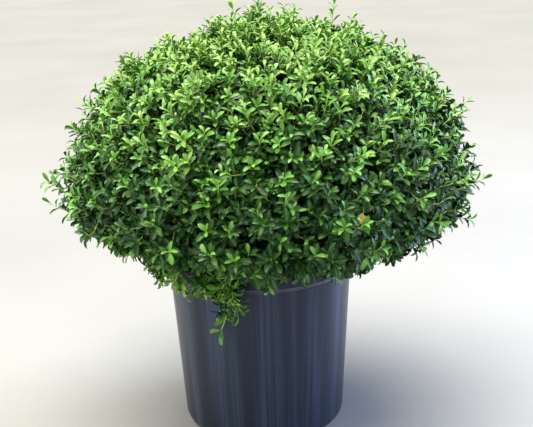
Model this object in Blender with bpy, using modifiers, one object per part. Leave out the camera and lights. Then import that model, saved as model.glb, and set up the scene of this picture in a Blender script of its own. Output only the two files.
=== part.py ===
"""Potted Japanese holly: a dense evergreen shrub, clipped to a low dome, in a round nursery pot.

Metres, +Z up. The origin is the centre of the pot's flat underside, and the front faces -Y.
A short stem stands in the potting mix. Boughs leave its head, one for each mass of foliage.
Each mass is a dense core with leafy sprays that stand out of it, joined into one solid.
"""
import math
import random

import bmesh
import bpy
from mathutils import Matrix, Vector

SEED = 7
CLEAR = 0.0003                  # air left between two solids that touch

# The pot, turned about the Z axis.
POT_STEPS = 48
POT_HEIGHT = 0.294
POT_WALL = 0.002
RIM_RADIUS = 0.1525             # outside of the band round the mouth
RIM_DEPTH = 0.022               # height of that band
LIP_ROUND = 0.0012
WALL_TOP_RADIUS = 0.1455
WALL_FOOT_RADIUS = 0.1305
FOOT_ROUND = 0.018              # radius of the round between wall and underside
BEAD_PITCH = 0.004              # from one moulded bead under the band to the next
BEAD_STAND = 0.0022
DRAIN_COUNT = 6
DRAIN_RADIUS = 0.006

# The potting mix that fills it.
MIX_TOP = 0.266
MIX_MOUND = 0.006               # how much higher the mix is at the stem

# The stem: a flared foot, a short leaning shank and the knob that the boughs leave.
STEM_FOOT_RADIUS = 0.021
STEM_RADIUS = 0.0122
STEM_LEAN = 0.06                # sideways travel for each metre up
HEAD_RADIUS = 0.017
HEAD_HEIGHT = 0.332
ROOT_LOBES = 5
LOBE_DEPTH = 0.16               # how far the lobes stand out at the foot, as a share of its radius
FLARE_HEIGHT = 0.020
STEM_SIDES = 14

# The crown: half an ellipsoid over a shallow dish.
CROWN_CENTRE = Vector((0.012, 0.0, 0.385))
CROWN_RADIUS = 0.318
CROWN_RISE = 0.275              # from its widest ring up to its top
CROWN_DROP = 0.125              # how deep the dish below that ring would be
CROWN_LEAN = 0.009              # how far its top stands to the right of its centre
UNDERCUT = 0.10                 # how much the dish draws in, as a share of its radius
LUMP = 0.022                    # how far its surface swells and sinks, as a share of its reach
CORE_REACH = 0.84               # the cores' outside, as a share of the crown's reach
CORE_FLARE = 0.10               # how much nearer the crown's outside they come at their lower edge
CORE_THICK = 0.11               # their thickness, as a share of the crown's reach
CORE_CELLS = 6                  # cells each way over a core's patch of the crown
CORE_TUFT = 0.045               # how far their skin is pushed in and out, as a share of its reach
CORE_END = 132.0                # tilt of the cores' lower edge, in degrees from the top
CAP_TILT = 38.0                 # tilt where the top mass meets the ring of masses
SPACE_MARGIN = 0.4              # degrees that a mass keeps from its neighbour's space
BORDER = 3.5                    # degrees that the foot of a spray keeps from it
SECTORS = {
    "front": -84.0, "front_right": -24.0, "back_right": 36.0,
    "back": 96.0, "back_left": 156.0, "front_left": 216.0,
}
SECTOR_WIDTH = 60.0

# The boughs and the stems of the masses.
BOUGH_SIDES = 8
BOUGH_KNOTS = 7
SQUARE_END = 0.003              # straight stretch that squares a limb's end
BOUGH_ROOT_RADIUS = 0.0045
BOUGH_TIP_RADIUS = 0.0031
BOUGH_END = 0.60                # share of the crown's reach where a bough ends
STUB_END = 0.80
BOUGH_CLIMB = 0.12              # least upward slope that a bough leaves the stem with
BOUGH_TILT = 78.0               # tilt of the point that a ring bough reaches

# The sprays.
SPRAY_PITCH = 0.0715
ROW_SPACING = 0.87              # from row to row, as a share of the pitch along a row
FIRST_ROW = 9
LAST_ROW = 146
LIFT = 7.0                      # degrees that a spray leans up towards the crown's top
DROOP_TILT = 130.0              # from this tilt on, sprays hang over the pot's rim
DROOP = 0.020
TWIG_RADIUS = 0.0024
TWIG_SUNK = 0.012
LEAF_SUNK = 0.0011
TIP_LEAF_SUNK = 0.0022
LEAF_LENGTH = 0.050
LEAF_WIDTH = 0.025
LEAF_THICK = 0.0016
LEAF_WIDEST = 0.56              # share of its length where a leaf is widest
LEAF_SPREAD = 64.0              # degrees from the twig to a leaf
LEAF_SEATS = (0.62, 0.94) # shares of the twig's length
POT_ROOM = 0.004                # air between leaves and the pot
LEAF_APART = 0.020              # least distance between the middles of two leaves
SEAT_TRIES = 9
GOLDEN_ANGLE = 137.508
LONG_REACH = 1.075
LONG_SHOOTS = (                 # azimuth and tilt of the shoots that stand out furthest
    (178, 84), (190, 96), (172, 70), (-4, 88), (-20, 101), (6, 66), (150, 10), (20, 19), (80, 30),
)

# The spray that trails over the front of the pot.
TRAIL_AZIMUTH = -114.0
TRAIL_HALF_WIDTH = 14.0         # degrees to each side that are its own space
TRAIL_TOP = 0.3005
TRAIL_TIP = 0.215               # height where its stem ends
TRAIL_OUT = 0.163               # distance from the pot's axis where its stem starts
TRAIL_LEAF = 0.56               # its leaves' size, as a share of the crown's
TRAIL_ROOM = 0.006              # air round the end of its bough
TRAIL_SAG = 0.14                # downward slope that its bough leaves the stem with
TRAIL_SEATS = 22
TRAIL_SPREAD = 52.0             # degrees from its stem to a leaf
TRAIL_ARCH = 0.022              # how far it runs on outwards before it hangs
TRAIL_HANG = 0.070              # straight fall of its last stretch
TRAIL_TIP_RADIUS = 0.0012
TRAIL_SIDES = 6

POT_BLACK = ((0.012, 0.013, 0.019), 0.42)
MIX_BROWN = ((0.052, 0.033, 0.021), 0.95)
BARK_GREY = ((0.135, 0.105, 0.075), 0.85)
LEAF_GREEN = ((0.062, 0.190, 0.030), 0.45)


# ---- helpers -----------------------------------------------------------------------------------

def clear_scene():
    for obj in list(bpy.data.objects):
        bpy.data.objects.remove(obj, do_unlink=True)


def new_collection(name):
    collection = bpy.data.collections.new(name)
    bpy.context.scene.collection.children.link(collection)
    return collection


def finish(obj, colour, roughness, smooth=True):
    """Gives a piece its own plain material and, where it is round, smooth shading."""
    material = bpy.data.materials.new(obj.name)
    material.use_nodes = True
    shader = material.node_tree.nodes["Principled BSDF"]
    shader.inputs["Base Color"].default_value = (*colour, 1.0)
    shader.inputs["Roughness"].default_value = roughness
    obj.data.materials.clear()
    obj.data.materials.append(material)
    if smooth:
        obj.data.shade_smooth()
        obj.data.set_sharp_from_angle(angle=math.radians(35))


def new_object(name, mesh, collection):
    obj = bpy.data.objects.new(name, mesh)
    collection.objects.link(obj)
    return obj


def evaluated_mesh(obj):
    """The object's mesh with its modifiers applied."""
    bpy.context.view_layer.update()
    depsgraph = bpy.context.evaluated_depsgraph_get()
    return bpy.data.meshes.new_from_object(obj.evaluated_get(depsgraph))


def weld(mesh):
    """Joins the points that lie on one another, such as those round a tube's loose caps."""
    shape = bmesh.new()
    shape.from_mesh(mesh)
    bmesh.ops.remove_doubles(shape, verts=shape.verts, dist=0.00001)
    shape.to_mesh(mesh)
    shape.free()


def polar(azimuth, radius, height):
    turn = math.radians(azimuth)
    return Vector((radius * math.cos(turn), radius * math.sin(turn), height))


def arc(centre, radius, start, end, steps):
    """Points of an arc in a turned piece's profile, angles in degrees."""
    points = []
    for step in range(steps + 1):
        angle = math.radians(start + (end - start) * step / steps)
        points.append((centre[0] + radius * math.cos(angle), centre[1] + radius * math.sin(angle)))
    return points


def turned(name, profile, collection):
    """Turns a profile of (radius, height) points, which runs down its outer side, about Z."""
    mesh = bpy.data.meshes.new(name)
    edges = [(k, k + 1) for k in range(len(profile) - 1)]
    mesh.from_pydata([(radius, 0.0, height) for radius, height in profile], edges, [])
    obj = new_object(name, mesh, collection)
    screw = obj.modifiers.new("turn", "SCREW")
    screw.steps = POT_STEPS
    screw.render_steps = POT_STEPS
    screw.use_merge_vertices = True
    screw.merge_threshold = 0.00005
    return obj


def sweep(start, leave, arrive, end, count):
    """Points of a smooth curve that leaves start towards one bend and reaches end from another."""
    points = []
    for step in range(count):
        t = step / (count - 1)
        s = 1 - t
        points.append(start * s**3 + leave * 3 * s * s * t + arrive * 3 * s * t * t + end * t**3)
    return points


def limb(name, points, radii, sides, collection):
    """One round limb along the points, as thick at each as its radius says."""
    curve = bpy.data.curves.new(name, "CURVE")
    curve.dimensions = "3D"
    curve.bevel_depth = 1.0
    curve.bevel_resolution = sides // 2 - 2
    curve.use_fill_caps = True
    spline = curve.splines.new("POLY")
    spline.points.add(len(points) - 1)
    for knot, point, radius in zip(spline.points, points, radii):
        knot.co = (*point, 1.0)
        knot.radius = radius
    rod = new_object(name + "_rod", curve, collection)
    mesh = evaluated_mesh(rod)
    weld(mesh)
    bpy.data.objects.remove(rod)
    return new_object(name, mesh, collection)


def tapering(root, tip, count):
    return [root + (tip - root) * step / (count - 1) for step in range(count)]


# ---- pot and potting mix -----------------------------------------------------------------------

def wall_radius(height):
    """Radius of the pot's outside at a height between its foot round and its beads."""
    share = (height - FOOT_ROUND) / (POT_HEIGHT - RIM_DEPTH - FOOT_ROUND)
    return WALL_FOOT_RADIUS + (WALL_TOP_RADIUS - WALL_FOOT_RADIUS) * share


def make_pot(parts, cutters):
    """A thin moulded wall with a band round the mouth, two beads under it and a flat underside."""
    band_foot = POT_HEIGHT - RIM_DEPTH
    lip = (RIM_RADIUS - LIP_ROUND, POT_HEIGHT - LIP_ROUND)
    outside = arc(lip, LIP_ROUND, 90, 0, 2)
    outside += [(RIM_RADIUS, band_foot + 0.0008), (RIM_RADIUS - 0.0010, band_foot)]
    for bead in range(2):
        height = band_foot - BEAD_PITCH * (bead + 0.5)
        radius = wall_radius(height) + BEAD_STAND * (1 - bead) + 0.0012
        outside += [(radius - 0.0014, height + BEAD_PITCH * 0.36), (radius, height)]
    outside += [(wall_radius(height - BEAD_PITCH * 0.5), height - BEAD_PITCH * 0.5)]
    foot_centre = (WALL_FOOT_RADIUS - FOOT_ROUND, FOOT_ROUND)
    outside += arc(foot_centre, FOOT_ROUND, 0, -90, 4) + [(0.0, 0.0)]
    inside = [(0.0, POT_WALL)] + arc(foot_centre, FOOT_ROUND - POT_WALL, -90, 0, 3)
    shoulder = band_foot - BEAD_PITCH * 2
    inside += [
        (wall_radius(shoulder) - POT_WALL, shoulder),
        (RIM_RADIUS - POT_WALL, band_foot),
        (RIM_RADIUS - POT_WALL, POT_HEIGHT - LIP_ROUND),
        (lip[0] - 0.0003, POT_HEIGHT),
    ]
    pot = turned("pot", outside + inside + outside[:1], parts)
    blank = pot.data
    pot.data = evaluated_mesh(pot)
    pot.modifiers.clear()
    bpy.data.meshes.remove(blank)
    for drain in range(DRAIN_COUNT):
        add_drain_cutter(pot, cutters, 360 * (drain + 0.5) / DRAIN_COUNT)
    finish(pot, *POT_BLACK)


def add_drain_cutter(pot, cutters, azimuth):
    """A slanted hole through the round between the pot's wall and its underside."""
    shape = bmesh.new()
    bmesh.ops.create_cone(shape, cap_ends=True, segments=8, radius1=DRAIN_RADIUS,
                          radius2=DRAIN_RADIUS, depth=0.03)
    mesh = bpy.data.meshes.new("drain")
    shape.to_mesh(mesh)
    shape.free()
    cutter = new_object("drain_cutter", mesh, cutters)
    reach = WALL_FOOT_RADIUS - FOOT_ROUND + FOOT_ROUND * math.cos(math.radians(45))
    cutter.location = polar(azimuth, reach, FOOT_ROUND * (1 - math.sin(math.radians(45))))
    cutter.rotation_euler = (0, math.radians(135), math.radians(azimuth))
    cutter.hide_render = True
    cutter.display_type = "WIRE"
    cut = pot.modifiers.new("drain", "BOOLEAN")
    cut.operation = "DIFFERENCE"
    cut.object = cutter


def make_mix(parts):
    """The potting mix: it fills the pot just clear of its wall, and is mounded up at the stem."""
    gap = POT_WALL + 0.0004
    foot_centre = (WALL_FOOT_RADIUS - FOOT_ROUND, FOOT_ROUND)
    profile = [(0.0, MIX_TOP), (STEM_FOOT_RADIUS * 1.8, MIX_TOP)]
    profile += [(0.06, MIX_TOP - MIX_MOUND * 0.4), (0.10, MIX_TOP - MIX_MOUND)]
    brim = MIX_TOP - MIX_MOUND - 0.001
    profile += [(wall_radius(brim) - gap, brim)]
    profile += arc(foot_centre, FOOT_ROUND - gap, 0, -90, 3) + [(0.0, gap)]
    mix = turned("potting_mix", profile, parts)
    finish(mix, *MIX_BROWN)


# ---- stem and boughs ---------------------------------------------------------------------------

def stem_axis(height):
    """The middle of the leaning stem at a height."""
    run = (height - MIX_TOP) * STEM_LEAN
    return Vector((run, run * 0.4, height))


def make_stem(parts):
    """The stem, from a flat cut at the mix's surface up to its knobbly head, flared at the root."""
    foot = MIX_TOP + CLEAR
    rings = [(0.0, STEM_FOOT_RADIUS), (0.005, STEM_FOOT_RADIUS * 0.86), (0.012, STEM_RADIUS * 1.18)]
    rings += [(0.024, STEM_RADIUS * 1.02), (0.038, STEM_RADIUS)]
    heights = [foot + rise for rise, _ in rings]
    radii = [radius for _, radius in rings]
    for angle in range(-45, 90, 25):
        turn = math.radians(angle)
        heights.append(HEAD_HEIGHT + HEAD_RADIUS * math.sin(turn))
        radii.append(HEAD_RADIUS * math.cos(turn))
    stem = limb("stem", [stem_axis(height) for height in heights], radii, STEM_SIDES, parts)
    for vert in stem.data.vertices:
        flare = max(0.0, 1 - (vert.co.z - foot) / FLARE_HEIGHT)
        out = vert.co - stem_axis(vert.co.z)
        lobe = LOBE_DEPTH * flare * math.cos(ROOT_LOBES * math.atan2(out.y, out.x))
        vert.co.x += out.x * lobe
        vert.co.y += out.y * lobe
        if vert.co.z < heights[1] - STEM_FOOT_RADIUS * STEM_LEAN:
            vert.co.z = foot
    finish(stem, *BARK_GREY)


def make_bough(name, end, onward, collection, sag=0.0):
    """One tapering bough, from the stem's head out to end, where it heads onward."""
    head = stem_axis(HEAD_HEIGHT)
    outward = (end - head).normalized()
    outward.z = max(outward.z, BOUGH_CLIMB) - sag
    outward.normalize()
    start = head + outward * (HEAD_RADIUS + CLEAR)
    third = (end - start).length / 3
    points = sweep(start, start + outward * third, end - onward * third, end, BOUGH_KNOTS)
    points[-1:-1] = [end - onward * SQUARE_END]
    radii = tapering(BOUGH_ROOT_RADIUS, BOUGH_TIP_RADIUS, len(points))
    bough = limb(name, points, radii, BOUGH_SIDES, collection)
    finish(bough, *BARK_GREY)


# ---- the crown's form and the space of each mass -----------------------------------------------

def crown_point(azimuth, tilt, reach=1.0):
    """A point of the crown's form: tilt 0 is its top, 90 its widest ring, more is its underside."""
    turn, lean = math.radians(azimuth), math.radians(tilt)
    swell = math.sin(3 * turn + 0.7) * math.sin(2 * lean) + 0.7 * math.sin(5 * turn - 1.1 + 2 * lean)
    reach *= 1 + LUMP * swell * math.sin(lean)
    out, up = CROWN_RADIUS * math.sin(lean) * reach, math.cos(lean) * reach
    place = CROWN_CENTRE + Vector((CROWN_LEAN * max(0.0, up), 0, up * (CROWN_RISE if up > 0 else CROWN_DROP)))
    if tilt > 90:
        out *= 1 - UNDERCUT * math.sin(math.radians(min(90, 2 * (tilt - 90))))
    return place + Vector((out * math.cos(turn), out * math.sin(turn), 0))


def core_reach(tilt):
    """The reach of the cores' outside: nearer the crown's outside where they curve under."""
    return CORE_REACH + CORE_FLARE * max(0.0, tilt - 90) / (CORE_END - 90)


def crown_angles(point):
    """The azimuth and the tilt, in degrees, of the ray from the crown's centre to a point."""
    offset = point - CROWN_CENTRE
    rise = CROWN_RISE if offset.z > 0 else CROWN_DROP
    offset.x -= CROWN_LEAN * max(0.0, offset.z) / CROWN_RISE
    out = math.hypot(offset.x, offset.y) / CROWN_RADIUS
    return math.degrees(math.atan2(offset.y, offset.x)), math.degrees(math.atan2(out, offset.z / rise))


def from_azimuth(azimuth, middle):
    """Degrees from a middle azimuth, between -180 and 180."""
    return (azimuth - middle + 180) % 360 - 180


def mass_at(point, margin=0.0):
    """Names the mass whose space holds a point, or nothing where the point is near a border."""
    azimuth, tilt = crown_angles(point)
    if tilt < CAP_TILT - margin:
        return "top"
    if tilt < CAP_TILT + margin:
        return None
    for name, middle in SECTORS.items():
        if abs(from_azimuth(azimuth, middle)) < SECTOR_WIDTH / 2 - margin:
            return name
    return None


def clears_pot(point):
    """Whether a point is above the pot's mouth or well outside its wall."""
    return point.z > POT_HEIGHT + POT_ROOM or math.hypot(point.x, point.y) > RIM_RADIUS + POT_ROOM


def in_trailing_space(point):
    """Whether a point is in the space over the pot's front that the trailing spray has."""
    azimuth = math.degrees(math.atan2(point.y, point.x))
    low = point.z < TRAIL_TOP + 2 * TRAIL_ROOM
    return low and abs(from_azimuth(azimuth, TRAIL_AZIMUTH)) < TRAIL_HALF_WIDTH


def fits_mass(name, point):
    if name == "trailing":
        out = math.hypot(point.x, point.y)
        past_bough = point.z < TRAIL_TOP - 2 * TRAIL_ROOM or out > TRAIL_OUT + CLEAR * 3
        low = point.z < TRAIL_TOP + TRAIL_ROOM
        return low and past_bough and clears_pot(point) and in_trailing_space(point)
    return mass_at(point, SPACE_MARGIN) == name and clears_pot(point) and not in_trailing_space(point)


# ---- twigs and leaves --------------------------------------------------------------------------

def leaf_blank():
    """A leaf one long from its root and one wide, widest past its middle, with a keel on top."""
    shape = bmesh.new()
    bmesh.ops.create_uvsphere(shape, u_segments=3, v_segments=2, radius=0.5)
    for vert in shape.verts:
        along = vert.co.z + 0.5 if abs(vert.co.z) > 0.1 else LEAF_WIDEST
        vert.co = Vector((along, -vert.co.y / math.sin(math.radians(60)), vert.co.x))
    mesh = bpy.data.meshes.new("leaf")
    shape.to_mesh(mesh)
    shape.free()
    return mesh


def twig_blank():
    """A three-sided twig one long and one in radius at its root, slimmer at its tip."""
    shape = bmesh.new()
    bmesh.ops.create_cone(shape, cap_ends=True, segments=3, radius1=1.0, radius2=0.6, depth=1.0)
    bmesh.ops.translate(shape, verts=shape.verts, vec=(0, 0, 0.5))
    mesh = bpy.data.meshes.new("twig")
    shape.to_mesh(mesh)
    shape.free()
    return mesh


def frame_along(along, across):
    """A turn whose X runs along a direction and whose Y is as near to another as it can be."""
    x_axis = along.normalized()
    z_axis = x_axis.cross(across).normalized()
    return Matrix((x_axis, z_axis.cross(x_axis), z_axis)).transposed().to_4x4()


def leaf_outline(root, turn, size):
    """Points all round a leaf and along its middle, to test the room that it needs."""
    points = []
    for along, across in ((0.1, 0), (0.3, 0), (LEAF_WIDEST, 0), (0.8, 0), (1, 0), (LEAF_WIDEST, 0.5),
                          (LEAF_WIDEST, -0.5), (0.8, 0.27), (0.8, -0.27), (0.3, 0.26), (0.3, -0.26)):
        points.append(root + turn @ Vector((along * LEAF_LENGTH * size, across * LEAF_WIDTH * size, 0)))
    return points


class Mass:
    """One mass of foliage while it grows: its pieces, and the space that they keep to."""

    def __init__(self, name, leaf, twig):
        self.name = name
        self.leaf = leaf
        self.twig = twig
        self.middles = []
        self.pieces = bpy.data.collections.new("pieces_" + name)
        bpy.context.scene.collection.children.link(self.pieces)

    def add_twig(self, start, end, radius):
        direction = end - start
        turn = direction.to_track_quat("Z", "Y").to_matrix().to_4x4()
        twig = new_object("twig", self.twig, self.pieces)
        size = Matrix.Diagonal((radius, radius, direction.length, 1))
        twig.matrix_world = Matrix.Translation(start) @ turn @ size

    def add_leaf(self, root, direction, across, size=1.0, sunk=LEAF_SUNK):
        """Adds a leaf if it has room in this mass's space; says whether it had."""
        turn = frame_along(direction, across)
        middle = root + direction.normalized() * LEAF_LENGTH * size * LEAF_WIDEST
        if any((middle - other).length < LEAF_APART * size for other in self.middles):
            return False
        if not all(fits_mass(self.name, point) for point in leaf_outline(root, turn, size)):
            return False
        self.middles.append(middle)
        leaf = new_object("leaf", self.leaf, self.pieces)
        root = root - direction.normalized() * sunk
        scale = Matrix.Diagonal((LEAF_LENGTH * size, LEAF_WIDTH * size, LEAF_THICK * size, 1))
        leaf.matrix_world = Matrix.Translation(root) @ turn @ scale
        return True

    def fuse(self, base, parts):
        """Joins every piece to the base by one union, and keeps the one closed body that it makes."""
        union = base.modifiers.new("fuse", "BOOLEAN")
        union.operation = "UNION"
        union.operand_type = "COLLECTION"
        union.collection = self.pieces
        union.solver = "MANIFOLD"
        mesh = evaluated_mesh(base)
        bpy.data.objects.remove(base)
        for piece in list(self.pieces.objects):
            bpy.data.objects.remove(piece)
        bpy.data.collections.remove(self.pieces)
        keep_outer_body(mesh)
        mass = new_object("foliage_" + self.name, mesh, parts)
        finish(mass, *LEAF_GREEN, smooth=False)


def keep_outer_body(mesh):
    """Drops loose scraps and the shells of sealed hollows: only the largest body stays."""
    shape = bmesh.new()
    shape.from_mesh(mesh)
    bodies = []
    unseen = set(shape.faces)
    while unseen:
        body, border = [], [unseen.pop()]
        while border:
            face = border.pop()
            body.append(face)
            beside = {other for edge in face.edges for other in edge.link_faces} & unseen
            unseen -= beside
            border.extend(beside)
        bodies.append(body)
    bodies.sort(key=len)
    scraps = [face for body in bodies[:-1] for face in body]
    bmesh.ops.delete(shape, geom=scraps, context="FACES")
    shape.to_mesh(mesh)
    shape.free()


# ---- masses of foliage -------------------------------------------------------------------------

def make_core(name, parts, chance):
    """The dense inside of a mass: a patch of the crown's form, carried inwards to a thick shell."""
    shape = bmesh.new()
    bmesh.ops.create_grid(shape, x_segments=CORE_CELLS, y_segments=CORE_CELLS, size=0.5)
    for vert in shape.verts:
        across, down = vert.co.x, vert.co.y
        if name == "top":
            azimuth = math.degrees(math.atan2(down, across))
            tilt = (CAP_TILT - SPACE_MARGIN) * 2 * max(abs(across), abs(down))
        else:
            azimuth = SECTORS[name] + across * (SECTOR_WIDTH - 2 * SPACE_MARGIN)
            brim = CAP_TILT + SPACE_MARGIN
            tilt = brim + (down + 0.5) * (CORE_END - brim)
        tuft = 0.0 if vert.is_boundary else chance.uniform(-CORE_TUFT, CORE_TUFT)
        vert.co = crown_point(azimuth, tilt, core_reach(tilt) + tuft)
    skin = bmesh.ops.extrude_face_region(shape, geom=shape.faces[:], use_keep_orig=True)
    inner = [item for item in skin["geom"] if isinstance(item, bmesh.types.BMVert)]
    share = 1 - CORE_THICK / CORE_REACH
    bmesh.ops.scale(shape, verts=inner, vec=(share, share, share), space=Matrix.Translation(-CROWN_CENTRE))
    shape.normal_update()
    bmesh.ops.recalc_face_normals(shape, faces=shape.faces)
    mesh = bpy.data.meshes.new("core_" + name)
    shape.to_mesh(mesh)
    shape.free()
    return new_object("core_" + name, mesh, parts)


def spray_sites(chance):
    """Rows of places on the crown, even on all sides, as azimuth, tilt and reach."""
    walked, turn = SPRAY_PITCH, 0.0
    for tilt in range(FIRST_ROW, LAST_ROW):
        walked += (crown_point(0, tilt) - crown_point(0, tilt - 1)).length * CORE_REACH
        if walked < SPRAY_PITCH * ROW_SPACING:
            continue
        walked = 0.0
        turn += GOLDEN_ANGLE
        around = 2 * math.pi * CROWN_RADIUS * CORE_REACH * math.sin(math.radians(tilt))
        count = max(3, round(around / SPRAY_PITCH))
        for place in range(count):
            azimuth = turn + 360 * place / count + chance.uniform(-3, 3)
            yield azimuth, tilt + chance.uniform(-2, 2), chance.uniform(0.965, 1.025)
    for azimuth, tilt in LONG_SHOOTS:
        yield azimuth, tilt, LONG_REACH


def settle(azimuth, tilt):
    """The mass that a place belongs to, and the place moved clear of that mass's borders."""
    if tilt < CAP_TILT:
        return "top", azimuth, min(tilt, CAP_TILT - BORDER)
    name = min(SECTORS, key=lambda sector: abs(from_azimuth(azimuth, SECTORS[sector])))
    room = SECTOR_WIDTH / 2 - BORDER
    offset = max(-room, min(room, from_azimuth(azimuth, SECTORS[name])))
    return name, SECTORS[name] + offset, max(CAP_TILT + BORDER, min(tilt, CORE_END - 2))


def grow_spray(masses, azimuth, tilt, reach, chance):
    """One twig out of a core, with leaves round it and one at its tip."""
    name, foot_azimuth, foot_tilt = settle(azimuth, tilt)
    start = crown_point(foot_azimuth, foot_tilt, core_reach(foot_tilt))
    highest = 0.0 if name == "top" else CAP_TILT + BORDER / 2
    lift = LIFT * math.sin(math.radians(tilt))
    end = crown_point(foot_azimuth + chance.uniform(-2, 2), max(tilt - lift, highest), reach)
    if tilt > DROOP_TILT:
        end.z -= DROOP * chance.uniform(0.6, 1.0)
    direction = (end - start).normalized()
    tip = end - direction * LEAF_LENGTH * 0.9
    root = start - direction * TWIG_SUNK
    if not all(fits_mass(name, point) for point in (root, start, tip)):
        return
    mass = masses[name]
    mass.add_twig(root, tip, TWIG_RADIUS)
    side = direction.orthogonal().normalized()
    turn = chance.uniform(0, 360)
    spread = math.radians(LEAF_SPREAD)
    for seat in LEAF_SEATS:
        for _ in range(SEAT_TRIES):
            turn += GOLDEN_ANGLE
            out = Matrix.Rotation(math.radians(turn), 3, direction) @ side
            way = direction * math.cos(spread) + out * math.sin(spread)
            if mass.add_leaf(start.lerp(tip, seat), way, direction.cross(way), chance.uniform(0.85, 1.05)):
                break
    across = Vector((0, 0, 1)).cross(direction) + side * 0.3
    mass.add_leaf(tip, direction, across, 1.0, TIP_LEAF_SUNK)


def make_crown(parts):
    """The top mass and the ring of masses, each with its bough and the stem that meets it."""
    chance = random.Random(SEED)
    leaf, twig = leaf_blank(), twig_blank()
    masses = {name: Mass(name, leaf, twig) for name in ("top", *SECTORS)}
    for azimuth, tilt, reach in spray_sites(chance):
        grow_spray(masses, azimuth, tilt, reach, chance)
    for name, mass in masses.items():
        azimuth, tilt = (0.0, 0.0) if name == "top" else (SECTORS[name], BOUGH_TILT)
        bough_end = crown_point(azimuth, tilt, BOUGH_END)
        stub_end = crown_point(azimuth, tilt, STUB_END)
        onward = (stub_end - bough_end).normalized()
        make_bough("bough_" + name, bough_end, onward, parts)
        radii = tapering(BOUGH_TIP_RADIUS, BOUGH_TIP_RADIUS * 0.8, 2)
        limb("stub", [bough_end + onward * CLEAR, stub_end], radii, BOUGH_SIDES, mass.pieces)
        mass.fuse(make_core(name, parts, chance), parts)
    make_trailing_spray(parts, leaf, twig, chance)


def make_trailing_spray(parts, leaf, twig, chance):
    """A long shoot that arches over the rim and hangs down the pot's front, leafy all along."""
    start = polar(TRAIL_AZIMUTH, TRAIL_OUT, TRAIL_TOP)
    outward = polar(TRAIL_AZIMUTH, 1.0, -0.25).normalized()
    make_bough("bough_trailing", start, outward, parts, sag=TRAIL_SAG)
    mass = Mass("trailing", leaf, twig)
    start += outward * CLEAR
    end = polar(TRAIL_AZIMUTH, TRAIL_OUT, TRAIL_TIP)
    points = sweep(start, start + outward * TRAIL_ARCH, end + Vector((0, 0, TRAIL_HANG)), end, 9)
    points[1:1] = [start + outward * SQUARE_END]
    radii = tapering(BOUGH_TIP_RADIUS, TRAIL_TIP_RADIUS, len(points))
    base = limb("trail", points, radii, TRAIL_SIDES, parts)
    turn, spread = 0.0, math.radians(TRAIL_SPREAD)
    for seat in range(TRAIL_SEATS):
        share = (seat + 1) / TRAIL_SEATS * (len(points) - 1.001)
        root = points[int(share)].lerp(points[int(share) + 1], share % 1)
        down = (points[int(share) + 1] - points[int(share)]).normalized()
        side = down.orthogonal().normalized()
        for _ in range(SEAT_TRIES * 2):
            turn += GOLDEN_ANGLE
            out = Matrix.Rotation(math.radians(turn), 3, down) @ side
            way = down * math.cos(spread) + out * math.sin(spread)
            if mass.add_leaf(root, way, down.cross(way), TRAIL_LEAF * chance.uniform(0.85, 1.1)):
                break
    mass.add_leaf(end, points[-1] - points[-2], polar(TRAIL_AZIMUTH + 90, 1.0, 0.0), TRAIL_LEAF)
    mass.fuse(base, parts)


def main():
    clear_scene()
    parts = new_collection("potted_japanese_holly")
    cutters = new_collection("cutters")
    make_pot(parts, cutters)
    make_mix(parts)
    make_stem(parts)
    make_crown(parts)


main()
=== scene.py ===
# %% [markdown]
# # A potted Japanese holly
#
# Japanese holly is an evergreen shrub with leaves not much longer than a thumbnail. Clipped while it
# is young, it makes a dense low dome that is wider than its pot. This lesson dresses the
# plain solids of one such shrub: a moulded nursery pot, the mix that fills it, a short stem with its
# boughs, and a crown of some tens of thousands of leaves.
#
# Each step says what its piece is on the real plant, how it could be made, and why it is made as it
# is. Metres, +Z up. The origin is the middle of the pot's underside, and the front faces -Y.

# %% Load the solids
import math
import random

import bmesh
import bpy
import numpy as np
from mathutils import Matrix, Vector, noise


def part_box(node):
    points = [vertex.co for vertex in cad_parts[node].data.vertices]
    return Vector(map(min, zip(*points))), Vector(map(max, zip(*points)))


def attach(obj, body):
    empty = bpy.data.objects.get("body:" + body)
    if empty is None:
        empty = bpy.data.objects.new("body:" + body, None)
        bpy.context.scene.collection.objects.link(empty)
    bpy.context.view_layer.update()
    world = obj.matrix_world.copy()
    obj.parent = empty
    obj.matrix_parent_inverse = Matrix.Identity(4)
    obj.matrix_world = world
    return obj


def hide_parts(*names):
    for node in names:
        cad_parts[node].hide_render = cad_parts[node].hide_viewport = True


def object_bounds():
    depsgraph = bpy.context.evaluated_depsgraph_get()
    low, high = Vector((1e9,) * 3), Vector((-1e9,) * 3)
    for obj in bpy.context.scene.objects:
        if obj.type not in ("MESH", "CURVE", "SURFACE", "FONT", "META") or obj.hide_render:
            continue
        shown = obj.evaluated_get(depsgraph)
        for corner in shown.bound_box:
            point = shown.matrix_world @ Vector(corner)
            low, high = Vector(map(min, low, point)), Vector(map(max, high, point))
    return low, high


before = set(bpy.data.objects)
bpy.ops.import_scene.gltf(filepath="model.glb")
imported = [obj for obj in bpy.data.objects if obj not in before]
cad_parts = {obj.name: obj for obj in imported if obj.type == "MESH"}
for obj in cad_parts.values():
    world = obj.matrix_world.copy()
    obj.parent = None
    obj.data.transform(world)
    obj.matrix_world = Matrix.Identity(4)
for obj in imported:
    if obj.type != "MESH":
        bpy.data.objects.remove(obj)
solid_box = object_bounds()
solid_size = solid_box[1] - solid_box[0]
print("solids:", len(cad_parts), "nodes,", [round(side, 3) for side in solid_size], "m")

# %% [markdown]
# ## The camera
#
# The shrub stands on open ground and is seen from about waist height, so the camera looks down on it
# a little and is not quite level. A camera's matrix has its right, up and backward directions as
# columns, and writing those out from two angles is clearer than three Euler angles.

# %% Place the camera
CAMERA_PLACE = Vector((0.0127, -1.514, 0.818))
CAMERA_DOWN = math.radians(17.41)
CAMERA_ROLL = math.radians(-1.79)


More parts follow.
